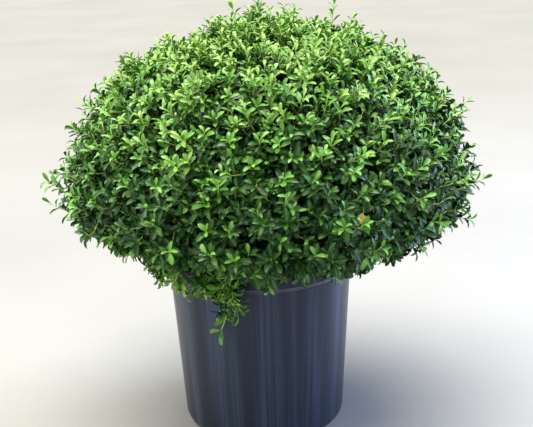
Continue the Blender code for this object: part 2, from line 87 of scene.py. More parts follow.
def level_axes(down):
    """The right, up and forward directions of a camera that looks along +Y and down."""
    forward = Vector((0.0, math.cos(down), -math.sin(down)))
    right = Vector((1.0, 0.0, 0.0))
    return right, right.cross(forward), forward


right, up, forward = level_axes(CAMERA_DOWN)
rolled_right = right * math.cos(CAMERA_ROLL) + up * math.sin(CAMERA_ROLL)
rolled_up = up * math.cos(CAMERA_ROLL) - right * math.sin(CAMERA_ROLL)
lens = bpy.data.cameras.new("camera")
lens.lens = 67.5
lens.sensor_width = 36.0
camera = bpy.data.objects.new("camera", lens)
camera.matrix_world = (
    Matrix.Translation(CAMERA_PLACE) @ Matrix((rolled_right, rolled_up, -forward)).transposed().to_4x4()
)
bpy.context.scene.collection.objects.link(camera)
bpy.context.scene.camera = camera
print("camera:", lens.lens, "mm lens,", round(CAMERA_PLACE.length, 2), "m from the pot's foot")

# %% [markdown]
# ## Colours and nodes
#
# Paint charts and colour pickers give sRGB hex codes, while a shader works in linear light, so one
# function turns the one into the other. A second one adds a node to a material, with its settings and
# with what feeds it. A node can be given as the feed itself, and then stands for its first output in use,
# which keeps every material's recipe down to a line or two for each node.

# %% Helpers for materials


def linear(code, alpha=1.0):
    """A shader's colour from an sRGB hex code such as #4d7a2e."""
    channels = [int(code[start:start + 2], 16) / 255 for start in (1, 3, 5)]
    light = [c / 12.92 if c <= 0.04045 else ((c + 0.055) / 1.055) ** 2.4 for c in channels]
    return (*light, alpha)


def set_inputs(material, node, feeds):
    """Gives a node's inputs a value each, or links the socket or node that feeds them."""
    for name, value in feeds.items():
        if isinstance(value, bpy.types.Node):
            value = next(output for output in value.outputs if output.enabled)
        if isinstance(value, bpy.types.NodeSocket):
            material.node_tree.links.new(value, node.inputs[name])
        else:
            node.inputs[name].default_value = value


def add_node(material, kind, feeds, **settings):
    """Adds a node, sets its properties, and gives its inputs their values and links."""
    node = material.node_tree.nodes.new(kind)
    for name, value in settings.items():
        setattr(node, name, value)
    set_inputs(material, node, feeds)
    return node


def new_material(name):
    """A node material with an untouched Principled shader, and its Object coordinates."""
    material = bpy.data.materials.new(name)
    material.use_nodes = True
    coordinates = add_node(material, "ShaderNodeTexCoord", {})
    return material, material.node_tree.nodes["Principled BSDF"], coordinates.outputs["Object"]


print("helpers: linear mid grey", round(linear("#808080")[0], 3))

# %% [markdown]
# ## Floor and light
#
# The plant is shown on a plain pale floor. Under an open sky most of the light comes from above and
# from all round, so a wide soft sun overhead lights the crown's top, and a pale world fills the rest.
# A warm lamp to the left and a small low one lift the crown's shaded front, and a wide cool one to the
# right gives the pot its long bluish gleam, helped by a gleam painted into the pot's colour. The gaps
# between the leaves stay dark because little of that light finds its way in, and because the leaves
# inside are painted dark as shade.

# %% Floor
FLOOR_SIZE = 40.0
FLOOR_CLOUD = 1 / 1.7           # metres across the floor's faint cloudy patches, 590 mm


def make_floor():
    """A wide flat floor of two greys that are almost the same, and that look pale once lit."""
    shape = bmesh.new()
    bmesh.ops.create_grid(shape, x_segments=1, y_segments=1, size=FLOOR_SIZE / 2)
    mesh = bpy.data.meshes.new("floor")
    shape.to_mesh(mesh)
    shape.free()
    floor = bpy.data.objects.new("floor", mesh)
    bpy.context.scene.collection.objects.link(floor)
    material, shader, place = new_material("pale_matt_floor")
    cloud = add_node(material, "ShaderNodeTexNoise", {
        "Vector": place, "Scale": 1 / FLOOR_CLOUD, "Detail": 5.0})
    shade = add_node(material, "ShaderNodeMapRange", {"Value": cloud, "From Min": 0.3, "From Max": 0.7})
    tone = add_node(material, "ShaderNodeMix", {
        0: shade, 6: linear("#888886"), 7: linear("#8f8f8d")}, data_type="RGBA")
    set_inputs(material, shader, {"Base Color": tone, "Roughness": 0.9})
    mesh.materials.append(material)


make_floor()
print("floor:", FLOOR_SIZE, "m across")

# %% Lamps and sky
SUN_WIDTH = math.radians(60)
SUN_STRENGTH = 8.2
SUN_TURN = (math.radians(-2), math.radians(-6), 0)
SKY_STRENGTH = 0.46


def make_lamp(name, place, target, size, watts, colour):
    """A square soft lamp at a place, turned to face the target."""
    lamp = bpy.data.lights.new(name, "AREA")
    lamp.size = size
    lamp.energy = watts
    lamp.color = linear(colour)[:3]
    holder = bpy.data.objects.new(name, lamp)
    holder.location = place
    holder.rotation_euler = (Vector(target) - Vector(place)).to_track_quat("-Z", "Y").to_euler()
    bpy.context.scene.collection.objects.link(holder)


def make_sun():
    """A hazy sun, almost straight overhead, as wide as a bright patch of thin cloud."""
    sun = bpy.data.lights.new("high_soft_lamp", "SUN")
    sun.angle = SUN_WIDTH
    sun.energy = SUN_STRENGTH
    sun.color = linear("#fffaf0")[:3]
    holder = bpy.data.objects.new("high_soft_lamp", sun)
    holder.rotation_euler = SUN_TURN
    bpy.context.scene.collection.objects.link(holder)


def make_sky():
    """A pale world that lights the plant evenly from all round."""
    world = bpy.data.worlds.new("pale_sky")
    world.use_nodes = True
    background = world.node_tree.nodes["Background"]
    background.inputs["Color"].default_value = linear("#e9eeef")
    background.inputs["Strength"].default_value = SKY_STRENGTH
    bpy.context.scene.world = world


make_sun()
make_sky()
make_lamp("front_lamp", (-2.2, -0.4, 2.0), (0, 0, 0.45), size=2.0, watts=42, colour="#fffdf4")
make_lamp("low_lamp", (-0.9, -1.8, 0.45), (-0.1, -0.15, 0.3), size=0.9, watts=10.5, colour="#f8fcf8")
make_lamp("side_lamp", (2.4, 0.3, 0.9), (0, 0, 0.25), size=1.6, watts=134, colour="#b9ccf6")
bpy.context.scene.view_settings.view_transform = "Standard"

# %% [markdown]
# ## Finishing a piece
#
# Every piece ends the same way: it gets its material, moves with the part's one body, and hides the
# plain solids it stands for.

# %% Helpers for pieces
SHARP_EDGE = math.radians(40)   # edges that turn more than this stay sharp


def mesh_from(name, shape):
    """Closes a bmesh into a mesh, smooth but for its sharp edges."""
    mesh = bpy.data.meshes.new(name)
    shape.to_mesh(mesh)
    shape.free()
    mesh.shade_smooth()
    mesh.set_sharp_from_angle(angle=SHARP_EDGE)
    return mesh


def add_piece(name, mesh, material, slot, *solids):
    """Puts a mesh in the scene as one of the plant's pieces, in place of the named solids."""
    mesh.materials.clear()
    mesh.materials.append(material)
    piece = bpy.data.objects.new(name, mesh)
    bpy.context.scene.collection.objects.link(piece)
    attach(piece, "root")
    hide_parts(*solids)
    return piece


def triangles(mesh):
    """How many triangles a mesh comes to."""
    return sum(face.loop_total - 2 for face in mesh.polygons)


def evaluated_mesh(piece):
    """A piece's mesh with its modifiers applied."""
    bpy.context.view_layer.update()
    depsgraph = bpy.context.evaluated_depsgraph_get()
    return bpy.data.meshes.new_from_object(piece.evaluated_get(depsgraph))


def arc(centre, radius, start, end, steps):
    """Points of an arc in a turned piece's profile, angles in degrees."""
    points = []
    for step in range(steps + 1):
        angle = math.radians(start + (end - start) * step / steps)
        points.append((centre[0] + radius * math.cos(angle), centre[1] + radius * math.sin(angle)))
    return points


print("frame nodes:", ", ".join(sorted(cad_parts)[:4]), "...")

# %% [markdown]
# ## The nursery pot
#
# The pot is blow-moulded from black polyethylene: a thin slightly tapering wall, a plain band round
# the mouth, two fine beads under the band, and a round foot with slanted drain holes. A turned shape
# is one profile spun about the Z axis. A lathe with a Screw modifier would do as well, but spinning a
# bmesh leaves a plain mesh that the drain holes can then be cut from.

# %% The pot's sizes, from its solid
pot_low, pot_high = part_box("pot")
POT_HEIGHT = pot_high.z
RIM_RADIUS = (pot_high.x - pot_low.x) / 2
POT_WALL = 0.002
RIM_DEPTH = 0.022
LIP_ROUND = 0.0012
LIP_BEVEL = 0.0003              # what is taken off the lip's inner edge
BAND_ROUND = 0.0010
FOOT_ROUND = 0.018
WALL_TOP_RADIUS = RIM_RADIUS - 0.007
WALL_FOOT_RADIUS = RIM_RADIUS - 0.022
WALL_STEPS = 9
BEADS = 2
BEAD_PITCH = 0.004
BEAD_ROUND = 0.0012
BEAD_STAND = 0.0022             # how much further out the upper bead stands than the lower one
POT_STEPS = 192
DRAIN_COUNT = 6
DRAIN_RADIUS = 0.006
DRAIN_LENGTH = 0.03
DRAIN_SLANT = math.radians(45)
BAND_FOOT = POT_HEIGHT - RIM_DEPTH


def wall_radius(height):
    """Radius of the pot's outside at a height between its foot round and its beads."""
    share = (height - FOOT_ROUND) / (BAND_FOOT - FOOT_ROUND)
    return WALL_FOOT_RADIUS + (WALL_TOP_RADIUS - WALL_FOOT_RADIUS) * share


print("pot:", round(POT_HEIGHT * 1000), "mm high,", round(RIM_RADIUS * 2000), "mm across its mouth")

# %% The pot's profile


def bead_outline(bead):
    """One rounded bead under the band, from its upper side to its lower side."""
    height = BAND_FOOT - BEAD_PITCH * (bead + 0.5)
    radius = wall_radius(height) + BEAD_STAND * (1 - bead)
    return arc((radius, height), BEAD_ROUND, 80, -80, 4)


def pot_outline():
    """The wall's outside from the lip down to the underside, then its inside back up."""
    lip = (RIM_RADIUS - LIP_ROUND, POT_HEIGHT - LIP_ROUND)
    outline = arc(lip, LIP_ROUND, 90, 0, 4)
    outline += arc((RIM_RADIUS - BAND_ROUND, BAND_FOOT + BAND_ROUND), BAND_ROUND, 0, -90, 3)
    for bead in range(BEADS):
        outline += bead_outline(bead)
    below = BAND_FOOT - BEAD_PITCH * BEADS
    for step in range(WALL_STEPS):
        height = below + (FOOT_ROUND - below) * step / WALL_STEPS
        outline.append((wall_radius(height), height))
    foot = (WALL_FOOT_RADIUS - FOOT_ROUND, FOOT_ROUND)
    outline += arc(foot, FOOT_ROUND, 0, -90, 10) + [(0.0, 0.0), (0.0, POT_WALL)]
    outline += arc(foot, FOOT_ROUND - POT_WALL, -90, 0, 6)
    outline += [(wall_radius(below) - POT_WALL, below), (RIM_RADIUS - POT_WALL, BAND_FOOT)]
    return outline + [(RIM_RADIUS - POT_WALL, POT_HEIGHT - LIP_ROUND), (lip[0] - LIP_BEVEL, POT_HEIGHT)]


def turned(outline, steps):
    """Spins an outline of (radius, height) points once round the Z axis."""
    shape = bmesh.new()
    points = [shape.verts.new((radius, 0.0, height)) for radius, height in outline]
    edges = [shape.edges.new(pair) for pair in zip(points, points[1:])]
    bmesh.ops.spin(shape, geom=points + edges, cent=(0, 0, 0), axis=(0, 0, 1), steps=steps,
                   angle=math.tau, use_merge=True, use_normal_flip=False, use_duplicate=False)
    bmesh.ops.remove_doubles(shape, verts=shape.verts, dist=0.00001)
    bmesh.ops.recalc_face_normals(shape, faces=shape.faces)
    return shape


pot_profile = pot_outline()
print("pot profile:", len(pot_profile), "points")

# %% Spin the pot and cut its drain holes


def drain_cutter(number):
    """A slanted rod through the round between the pot's wall and its underside."""
    shape = bmesh.new()
    bmesh.ops.create_cone(shape, cap_ends=True, segments=20, radius1=DRAIN_RADIUS,
                          radius2=DRAIN_RADIUS, depth=DRAIN_LENGTH)
    reach = WALL_FOOT_RADIUS - FOOT_ROUND + FOOT_ROUND * math.cos(DRAIN_SLANT)
    place = Matrix.Translation((reach, 0, FOOT_ROUND * (1 - math.sin(DRAIN_SLANT))))
    around = Matrix.Rotation(math.tau * (number + 0.5) / DRAIN_COUNT, 4, "Z")
    slanted = Matrix.Rotation(3 * DRAIN_SLANT, 4, "Y")
    bmesh.ops.transform(shape, verts=shape.verts, matrix=around @ place @ slanted)
    return bpy.data.objects.new("drain_cutter", mesh_from("drain_cutter", shape))


def make_pot_mesh():
    """The turned pot with its drain holes cut through."""
    closed_profile = pot_profile + pot_profile[:1]
    blank = bpy.data.objects.new("pot_blank", mesh_from("pot_blank", turned(closed_profile, POT_STEPS)))
    bpy.context.scene.collection.objects.link(blank)
    cutters = [drain_cutter(number) for number in range(DRAIN_COUNT)]
    for cutter in cutters:
        bpy.context.scene.collection.objects.link(cutter)
        cut = blank.modifiers.new("drain", "BOOLEAN")
        cut.operation = "DIFFERENCE"
        cut.object = cutter
    mesh = evaluated_mesh(blank)
    for used in (blank, *cutters):
        bpy.data.objects.remove(used)
    mesh.set_sharp_from_angle(angle=SHARP_EDGE)
    return mesh


pot_mesh = make_pot_mesh()
print("pot:", triangles(pot_mesh), "triangles")

# %% [markdown]
# ## Black polyethylene
#
# Nursery pots are moulded from recycled polyethylene coloured with carbon black. The plastic runs
# down the mould in fine vertical flow lines, and these, rather than any one colour, are what the eye
# reads: pale upright streaks of sheen, and a gleam that each line bends a little. A noise that is
# squeezed round the pot and stretched along its height makes them. It drives the bump, a little of the
# roughness, and pale streaks of painted sheen in the colour, which a broader noise lifts into bands of
# painted bluish gleam. The band round the mouth is painted darker, as the crown's shade over it, and a
# grey highlight is painted along the upper side of each of the two beads.

# %% Coordinates round the pot
FLOW_LINE = 0.0040              # metres from one flow line to the next
BROAD_LINE = 0.040              # and between the broad waves of the wall
FLOW_LENGTH = 0.35              # how long a flow line runs before it changes
BROAD_LENGTH = 0.9
# PATTERN_TURN also sets where the broad painted gleam falls round the pot.
PATTERN_TURN = 11.0             # which part of the pattern faces the front


def around_pot(material, place, width, height):
    """Coordinates in which a pattern is width wide round the pot and height tall along it."""
    split = add_node(material, "ShaderNodeSeparateXYZ", {0: place})
    flat = add_node(material, "ShaderNodeCombineXYZ", {0: split.outputs[0], 1: split.outputs[1]})
    ring = add_node(material, "ShaderNodeVectorMath", {0: flat}, operation="NORMALIZE")
    times = (WALL_TOP_RADIUS / width,) * 3
    wide = add_node(material, "ShaderNodeVectorMath", {0: ring, 1: times}, operation="MULTIPLY")
    tall = add_node(material, "ShaderNodeMath", {0: split.outputs[2], 1: 1 / height}, operation="MULTIPLY")
    lift = add_node(material, "ShaderNodeCombineXYZ", {0: PATTERN_TURN, 2: tall})
    return add_node(material, "ShaderNodeVectorMath", {0: wide, 1: lift}, operation="ADD")


print("flow lines:", round(math.tau * WALL_TOP_RADIUS / FLOW_LINE), "round the pot")

# %% Painted sheen, painted shade on the band, painted highlights on the beads, and dust
BAND_EDGE = 0.0005              # half the height in which the wall's look turns into the band's
# The edge and wear below are a painted highlight along each bead's upper side, and where it fades.
BEAD_HIGHLIGHT = 0.0004                  # half the height of a bead's worn edge, and where the wear has faded
BEAD_HIGHLIGHT_FADE = 0.0012
DUST_SPECK = 1 / 420            # metres from one speck of dust to the next, 2.4 mm


def black_with_painted_sheen(material, fine, broad):
    """Black plastic with painted blue-grey sheen along the flow lines, where a broad painted gleam lies."""
    painted_gleam = add_node(material, "ShaderNodeMapRange", {"Value": broad, "From Min": 0.42, "From Max": 0.72})
    plastic = add_node(material, "ShaderNodeMix", {
        0: painted_gleam, 6: linear("#1b1f2a"), 7: linear("#262d3b")}, data_type="RGBA")
    lines = add_node(material, "ShaderNodeMapRange", {"Value": fine, "From Min": 0.38, "From Max": 0.72})
    painted_sheen_streaks = add_node(material, "ShaderNodeMath", {0: lines, 1: painted_gleam}, operation="MULTIPLY")
    # the pale blue-grey is painted sheen along the lines, and the broad mix above it a painted gleam
    return add_node(material, "ShaderNodeMix", {
        0: painted_sheen_streaks, 6: plastic, 7: linear("#4c5870")}, data_type="RGBA")


def with_band_in_painted_shade(material, tone, height):
    """Paints the band round the mouth darker than the wall, as the shade of the crown above it."""
    band = add_node(material, "ShaderNodeMapRange", {
        "Value": height, "To Max": 0.9,
        "From Min": BAND_FOOT - BAND_EDGE, "From Max": BAND_FOOT + BAND_EDGE})
    return add_node(material, "ShaderNodeMix", {0: band, 6: tone, 7: linear("#15131c")}, data_type="RGBA")


def with_painted_bead_highlights(material, tone, height):
    """Paints a grey highlight along the upper side of each bead under the band."""
    for bead in range(BEADS):
        middle = BAND_FOOT - BEAD_PITCH * (bead + 0.5) + BEAD_HIGHLIGHT
        offset = add_node(material, "ShaderNodeMath", {0: height, 1: middle}, operation="SUBTRACT")
        away = add_node(material, "ShaderNodeMath", {0: offset}, operation="ABSOLUTE")
        painted_highlight = add_node(material, "ShaderNodeMapRange", {
            "Value": away, "From Min": BEAD_HIGHLIGHT, "From Max": BEAD_HIGHLIGHT_FADE, "To Min": 0.75, "To Max": 0.0})
        tone = add_node(material, "ShaderNodeMix", {
            0: painted_highlight, 6: tone, 7: linear("#716e7d")}, data_type="RGBA")
    return tone


def with_dust(material, tone, place):
    """Sprinkles a few pale specks of dried mix over the pot."""
    dust = add_node(material, "ShaderNodeTexNoise", {
        "Vector": place, "Scale": 1 / DUST_SPECK, "Detail": 1.0})
    speck = add_node(material, "ShaderNodeMapRange", {
        "Value": dust, "From Min": 0.76, "From Max": 0.80, "To Max": 0.6})
    return add_node(material, "ShaderNodeMix", {0: speck, 6: tone, 7: linear("#8c897e")}, data_type="RGBA")


print("beads with painted highlights:", BEADS, "with", BEAD_HIGHLIGHT_FADE * 2000, "mm of wear on each")

# %% Material of the pot


def black_polyethylene():
    """Black plastic with painted sheen and gleam, its band painted darker as shade, painted highlights on
    two beads, a little dusty.
    """
    material, shader, place = new_material("moulded_black_polyethylene")
    fine = add_node(material, "ShaderNodeTexNoise", {
        "Vector": around_pot(material, place, FLOW_LINE, FLOW_LENGTH), "Scale": 1.0, "Detail": 3.0,
        "Roughness": 0.6})
    broad = add_node(material, "ShaderNodeTexNoise", {
        "Vector": around_pot(material, place, BROAD_LINE, BROAD_LENGTH), "Scale": 1.0})
    height = add_node(material, "ShaderNodeSeparateXYZ", {0: place}).outputs[2]
    tone = with_band_in_painted_shade(material, black_with_painted_sheen(material, fine, broad), height)
    tone = with_dust(material, with_painted_bead_highlights(material, tone, height), place)
    shine = add_node(material, "ShaderNodeMapRange", {
        "Value": fine, "From Min": 0.3, "From Max": 0.7, "To Min": 0.30, "To Max": 0.44})
    wave = add_node(material, "ShaderNodeBump", {"Height": broad, "Strength": 0.2, "Distance": 0.004})
    ridges = add_node(material, "ShaderNodeBump", {
        "Height": fine, "Strength": 0.25, "Distance": 0.0006, "Normal": wave})
    set_inputs(material, shader, {
        "Base Color": tone, "Roughness": shine, "Normal": ridges, "IOR": 1.50,
        "Specular Tint": linear("#b9c8ea")})
    return material


pot = add_piece("nursery_pot", pot_mesh, black_polyethylene(), "pot_plastic", "pot")
print("pot material:", pot.data.materials[0].name)

# %% [markdown]
# ## Potting mix
#
# The mix that fills the pot is composted pine bark: dark brown crumbs with a few paler chips. Its body
# is another turned profile, kept just clear of the wall. A displaced grid would do for its top, but the
# profile gives wall and top in one, and its points are then moved up and down by a noise.

# %% The body of the mix
MIX_TOP = 0.266
MIX_MOUND = 0.006
MOUND_RUN = 0.08                # from the stem's foot to where the mix is level
MIX_RINGS = 40
MIX_STEPS = 120
MIX_GAP = 0.0004                # between the mix and the pot's wall
STEM_FOOT_RADIUS = 0.021
CRUMB = 0.0016                  # how far the crumbs stand up
CRUMBS = 190                    # crumbs to a metre, and the finer ones on them
FINE_CRUMBS = 420
FINE_SHARE = 0.6                # height of the finer crumbs, as a share of the others'
CRUMB_MARGIN = 0.001            # a smooth margin along the wall


def mix_height(radius):
    """Height of the mix at a distance from the stem: mounded in the middle, flat near the wall."""
    share = min(1.0, max(0.0, (radius - STEM_FOOT_RADIUS) / MOUND_RUN))
    return MIX_TOP - MIX_MOUND * (3 - 2 * share) * share * share


def make_mix_mesh():
    """The mix from its mounded, crumbly top down the inside of the pot to its floor."""
    gap = POT_WALL + MIX_GAP
    foot = (WALL_FOOT_RADIUS - FOOT_ROUND, FOOT_ROUND)
    brim = mix_height(RIM_RADIUS)
    edge = wall_radius(brim) - gap
    distances = [edge * step / MIX_RINGS for step in range(MIX_RINGS + 1)]
    outline = [(distance, mix_height(distance)) for distance in distances]
    outline += arc(foot, FOOT_ROUND - gap, 0, -90, 4) + [(0.0, gap)]
    shape = turned(outline, MIX_STEPS)
    for vert in shape.verts:
        out = math.hypot(vert.co.x, vert.co.y)
        on_top = vert.co.z > brim - CRUMB_MARGIN
        if on_top and STEM_FOOT_RADIUS < out < edge - CRUMB_MARGIN:
            crumbs = noise.noise(vert.co * CRUMBS) + FINE_SHARE * noise.noise(vert.co * FINE_CRUMBS)
            vert.co.z += CRUMB * crumbs
    return mesh_from("potting_mix_body", shape)


mix_mesh = make_mix_mesh()
print("mix:", triangles(mix_mesh), "triangles, brim at", round(mix_height(RIM_RADIUS), 4), "m")

# %% [markdown]
# ## Many small things as one mesh
#
# Chips and leaves are small shapes, repeated. As thousands of objects they would be slow and would not
# export, so each kind is one mesh. Instances made real by Geometry Nodes would do it too, but an array is
# plainer: NumPy places every copy of the small shape at once, and Blender takes the finished arrays of
# points, corners and faces.

# %% Helper that joins copies


def shape_arrays(mesh):
    """A small mesh as arrays: its points, its faces' corners, where each face starts, and its UVs."""
    points = np.zeros(len(mesh.vertices) * 3)
    mesh.vertices.foreach_get("co", points)
    corners = np.zeros(len(mesh.loops), int)
    mesh.loops.foreach_get("vertex_index", corners)
    starts = np.zeros(len(mesh.polygons), int)
    mesh.polygons.foreach_get("loop_start", starts)
    uvs = np.zeros(len(mesh.loops) * 2)
    if mesh.uv_layers:
        mesh.uv_layers[0].uv.foreach_get("vector", uvs)
    return points.reshape(-1, 3), corners, starts, uvs


def mesh_from_arrays(name, points, corners, starts, uvs=None):
    """One smooth mesh from arrays of points, corners and the corner that each face starts at."""
    mesh = bpy.data.meshes.new(name)
    mesh.vertices.add(len(points))
    mesh.vertices.foreach_set("co", points.ravel())
    mesh.loops.add(len(corners))
    mesh.loops.foreach_set("vertex_index", corners)
    mesh.polygons.add(len(starts))
    mesh.polygons.foreach_set("loop_start", starts)
    if uvs is not None:
        mesh.uv_layers.new(name="leaf").uv.foreach_set("vector", uvs)
    mesh.update(calc_edges=True)
    mesh.shade_smooth()
    return mesh


def joined_copies(name, small_meshes, copies):
    """Joins copies of small meshes, each given as (which small mesh, 3x3 turn and size, place)."""
    points, corners, starts, uvs = [], [], [], []
    point_count = 0
    corner_count = 0
    for which, small in enumerate(small_meshes):
        chosen = [(turn, place) for kind, turn, place in copies if kind == which]
        if not chosen:
            continue
        base, base_corners, base_starts, base_uvs = shape_arrays(small)
        turns = np.array([turn for turn, _ in chosen])
        places = np.array([place for _, place in chosen])
        points.append((np.einsum("nij,vj->nvi", turns, base) + places[:, None]).reshape(-1, 3))
        step = np.arange(len(chosen))[:, None]
        corners.append((base_corners + step * len(base) + point_count).ravel())
        starts.append((base_starts + step * len(base_corners) + corner_count).ravel())
        uvs.append(np.tile(base_uvs, len(chosen)))
        point_count += len(chosen) * len(base)
        corner_count += len(chosen) * len(base_corners)
    return mesh_from_arrays(name, np.concatenate(points), np.concatenate(corners),
                            np.concatenate(starts), np.concatenate(uvs))


print("helper ready: joined_copies")

# %% [markdown]
# ## Bark chips
#
# The paler chips lie loose on the mix at all angles. Each is a little wedge of bark with its edges taken
# off, and hundreds are cheap as one joined mesh made from copies of a single wedge.

# %% Bark chips on the mix
CHIP_COUNT = 700
CHIP_LENGTH = 0.011
CHIP_FORM = (1.0, 0.55, 0.22)   # length, width and thickness of a chip, and how thin its one end gets
CHIP_THIN_END = (1.0, 0.7, 0.5)
CHIP_EDGE = 0.05
CHIP_SIZES = (0.4, 1.1)         # the smallest and largest chip, as shares of that length
CHIP_NEAREST = 0.026            # how near the stem the chips lie, and how near the wall
CHIP_WALL_GAP = 0.009
CHIP_LIFT = 0.0005
CHIP_TILT = 0.35


def chip_blank():
    """A wedge of bark one unit long, with its edges taken off."""
    shape = bmesh.new()
    bmesh.ops.create_cube(shape, size=1.0)
    bmesh.ops.scale(shape, verts=shape.verts, vec=CHIP_FORM)
    thin_end = [vert for vert in shape.verts if vert.co.x > 0]
    bmesh.ops.scale(shape, verts=thin_end, vec=CHIP_THIN_END)
    bmesh.ops.bevel(shape, geom=shape.edges[:], offset=CHIP_EDGE, offset_type="OFFSET", affect="EDGES",
                    segments=1, profile=0.5, material=-1)
    return mesh_from("chip", shape)


def scatter_chips(chance):
    """Places for the chips, evenly spread over the mix, each turned and tilted its own way."""
    copies = []
    furthest = wall_radius(MIX_TOP) - CHIP_WALL_GAP
    for _ in range(CHIP_COUNT):
        out = math.sqrt(chance.uniform(CHIP_NEAREST**2, furthest**2))
        turn = chance.uniform(0, math.tau)
        place = (out * math.cos(turn), out * math.sin(turn), mix_height(out) + CHIP_LIFT)
        tumble = Matrix.Rotation(chance.uniform(0, math.tau), 3, "Z")
        tumble = tumble @ Matrix.Rotation(chance.gauss(0, CHIP_TILT), 3, "Y")
        copies.append((0, np.array(tumble) * CHIP_LENGTH * chance.uniform(*CHIP_SIZES), place))
    return copies


chip_mesh = joined_copies("bark_chips", [chip_blank()], scatter_chips(random.Random(21)))
print("chips:", CHIP_COUNT, "with", triangles(chip_mesh), "triangles")

# %% [markdown]
# ## Composted pine bark
#
# Composted bark is nearly black while it is moist, and breaks into crumbs that each have a brown of their
# own. Cells of a Voronoi pattern give every crumb one flat tone, and a fine noise under them gives the
# torn fibres. The chips are drier bark of the same kind, in larger and redder pieces, and nothing gleams.

# %% Materials of mix and chips
BARK_FIBRE = 1 / 900            # metres from one fibre of the composted bark to the next, 1.1 mm


def composted_bark(name, dark, pale, grain):
    """Dull dark crumbs one grain across, each with a tone of its own between dark and pale."""
    material, shader, place = new_material(name)
    crumbs = add_node(material, "ShaderNodeTexVoronoi", {"Vector": place, "Scale": 1 / grain})
    share = add_node(material, "ShaderNodeSeparateColor", {0: crumbs.outputs["Color"]})
    tone = add_node(material, "ShaderNodeMix", {
        0: share, 6: linear(dark), 7: linear(pale)}, data_type="RGBA")
    fibres = add_node(material, "ShaderNodeTexNoise", {
        "Vector": place, "Scale": 1 / BARK_FIBRE, "Detail": 4.0})
    relief = add_node(material, "ShaderNodeBump", {"Height": fibres, "Strength": 0.8, "Distance": 0.001})
    set_inputs(material, shader, {"Base Color": tone, "Normal": relief, "Roughness": 0.95})
    return material


mix_bark = composted_bark("composted_pine_bark", "#1d140e", "#3a2a1d", grain=0.003)
chip_bark = composted_bark("pine_bark_chips", "#3b2718", "#6a4a30", grain=0.008)
add_piece("potting_mix_bed", mix_mesh, mix_bark, "potting_mix", "potting_mix")
add_piece("potting_mix_chips", chip_mesh, chip_bark, "potting_mix", "potting_mix")
print("mix dressed")

# %% [markdown]
# ## Stem and boughs
#
# A nursery holly has one short stem, hardly thicker than a broom handle, that flares where it meets the
# mix and knots into a head from which the boughs leave. A curve with a bevel would be a quick limb, but
# its skin is a smooth pipe. Here each limb is a ring of points that is extruded from place to place along
# a path, so that every point of its skin can be moved out or in for the bark's plates and furrows.

# %% The path of the stem and of a bough
STEM_RADIUS = 0.0122
STEM_LEAN = 0.06                # how far the stem leans to the right for each metre up, and to the back
STEM_LEAN_BACK = 0.4            # as a share of that
HEAD_RADIUS = 0.017
HEAD_HEIGHT = 0.332
STEM_SIDES = 40
STEM_RINGS = 0.0012             # metres from one ring of points to the next
ROOT_LOBES = 5
LOBE_DEPTH = 0.16
FLARE_HEIGHT = 0.020
CLEAR = 0.0003                  # between the stem and the mix


def stem_axis(height):
    """The middle of the leaning stem at a height."""
    run = (height - MIX_TOP) * STEM_LEAN
    return Vector((run, run * STEM_LEAN_BACK, height))


def sweep(start, leave, arrive, end, count):
    """Points of a smooth curve that leaves start towards one bend and reaches end from another."""
    points = []
    for step in range(count):
        t = step / (count - 1)
        s = 1 - t
        points.append(start * s**3 + leave * 3 * s * s * t + arrive * 3 * s * t * t + end * t**3)
    return points


def tapering(root, tip, count):
    """Radii that go evenly from a limb's root to its tip."""
    return [root + (tip - root) * step / (count - 1) for step in range(count)]


print("stem head at", [round(value, 3) for value in stem_axis(HEAD_HEIGHT)])

# %% A limb with bark relief
BARK_PLATE = 0.006              # metres between furrows round a limb
BARK_DEPTH = 0.07               # depth of the relief, as a share of the limb's radius
PLATE_STRETCH = 0.72            # 0 for plates as long as they are wide, towards 1 for ever longer ones
FINE_PLATE = 0.45               # size of the finer relief on the plates, and its height
FINE_HEIGHT = 0.5


def bark_height(point, along):
    """How far the bark stands out at a point of a limb: long plates with furrows between them."""
    stretched = point - along * point.dot(along) * PLATE_STRETCH
    plates = noise.noise(stretched / BARK_PLATE)
    return plates + FINE_HEIGHT * noise.noise(point / (BARK_PLATE * FINE_PLATE))


def limb_shape(points, radii, sides):
    """Extrudes a ring of points along a path, closes both ends, and raises the bark."""
    shape = bmesh.new()
    bmesh.ops.create_circle(shape, cap_ends=False, radius=1.0, segments=sides)
    ring = shape.verts[:]
    circle = [vert.co.copy() for vert in ring]
    edges = shape.edges[:]
    across = (points[1] - points[0]).orthogonal().normalized()
    for number, (point, radius) in enumerate(zip(points, radii)):
        before, after = points[max(0, number - 1)], points[min(len(points) - 1, number + 1)]
        along = (after - before).normalized()
        across = (across - along * across.dot(along)).normalized()
        beside = along.cross(across)
        if number:
            grown = bmesh.ops.extrude_edge_only(shape, edges=edges)["geom"]
            ring = [item for item in grown if isinstance(item, bmesh.types.BMVert)]
            edges = [item for item in grown if isinstance(item, bmesh.types.BMEdge)]
        for vert, spot in zip(ring, circle):
            out = across * spot.x + beside * spot.y
            relief = 1 + BARK_DEPTH * bark_height(point + out * radius, along)
            vert.co = point + out * radius * relief
    bmesh.ops.holes_fill(shape, edges=[edge for edge in shape.edges if edge.is_boundary], sides=sides)
    bmesh.ops.recalc_face_normals(shape, faces=shape.faces)
    return shape


def denser(points, radii, spacing):
    """Adds points to a path so that no two are further apart than the spacing."""
    fine_points, fine_radii = [points[0]], [radii[0]]
    for number in range(1, len(points)):
        steps = max(1, math.ceil((points[number] - points[number - 1]).length / spacing))
        for step in range(1, steps + 1):
            fine_points.append(points[number - 1].lerp(points[number], step / steps))
            fine_radii.append(radii[number - 1] + (radii[number] - radii[number - 1]) * step / steps)
    return fine_points, fine_radii


print("limbs: bark plates", BARK_PLATE * 1000, "mm wide")

# %% The stem


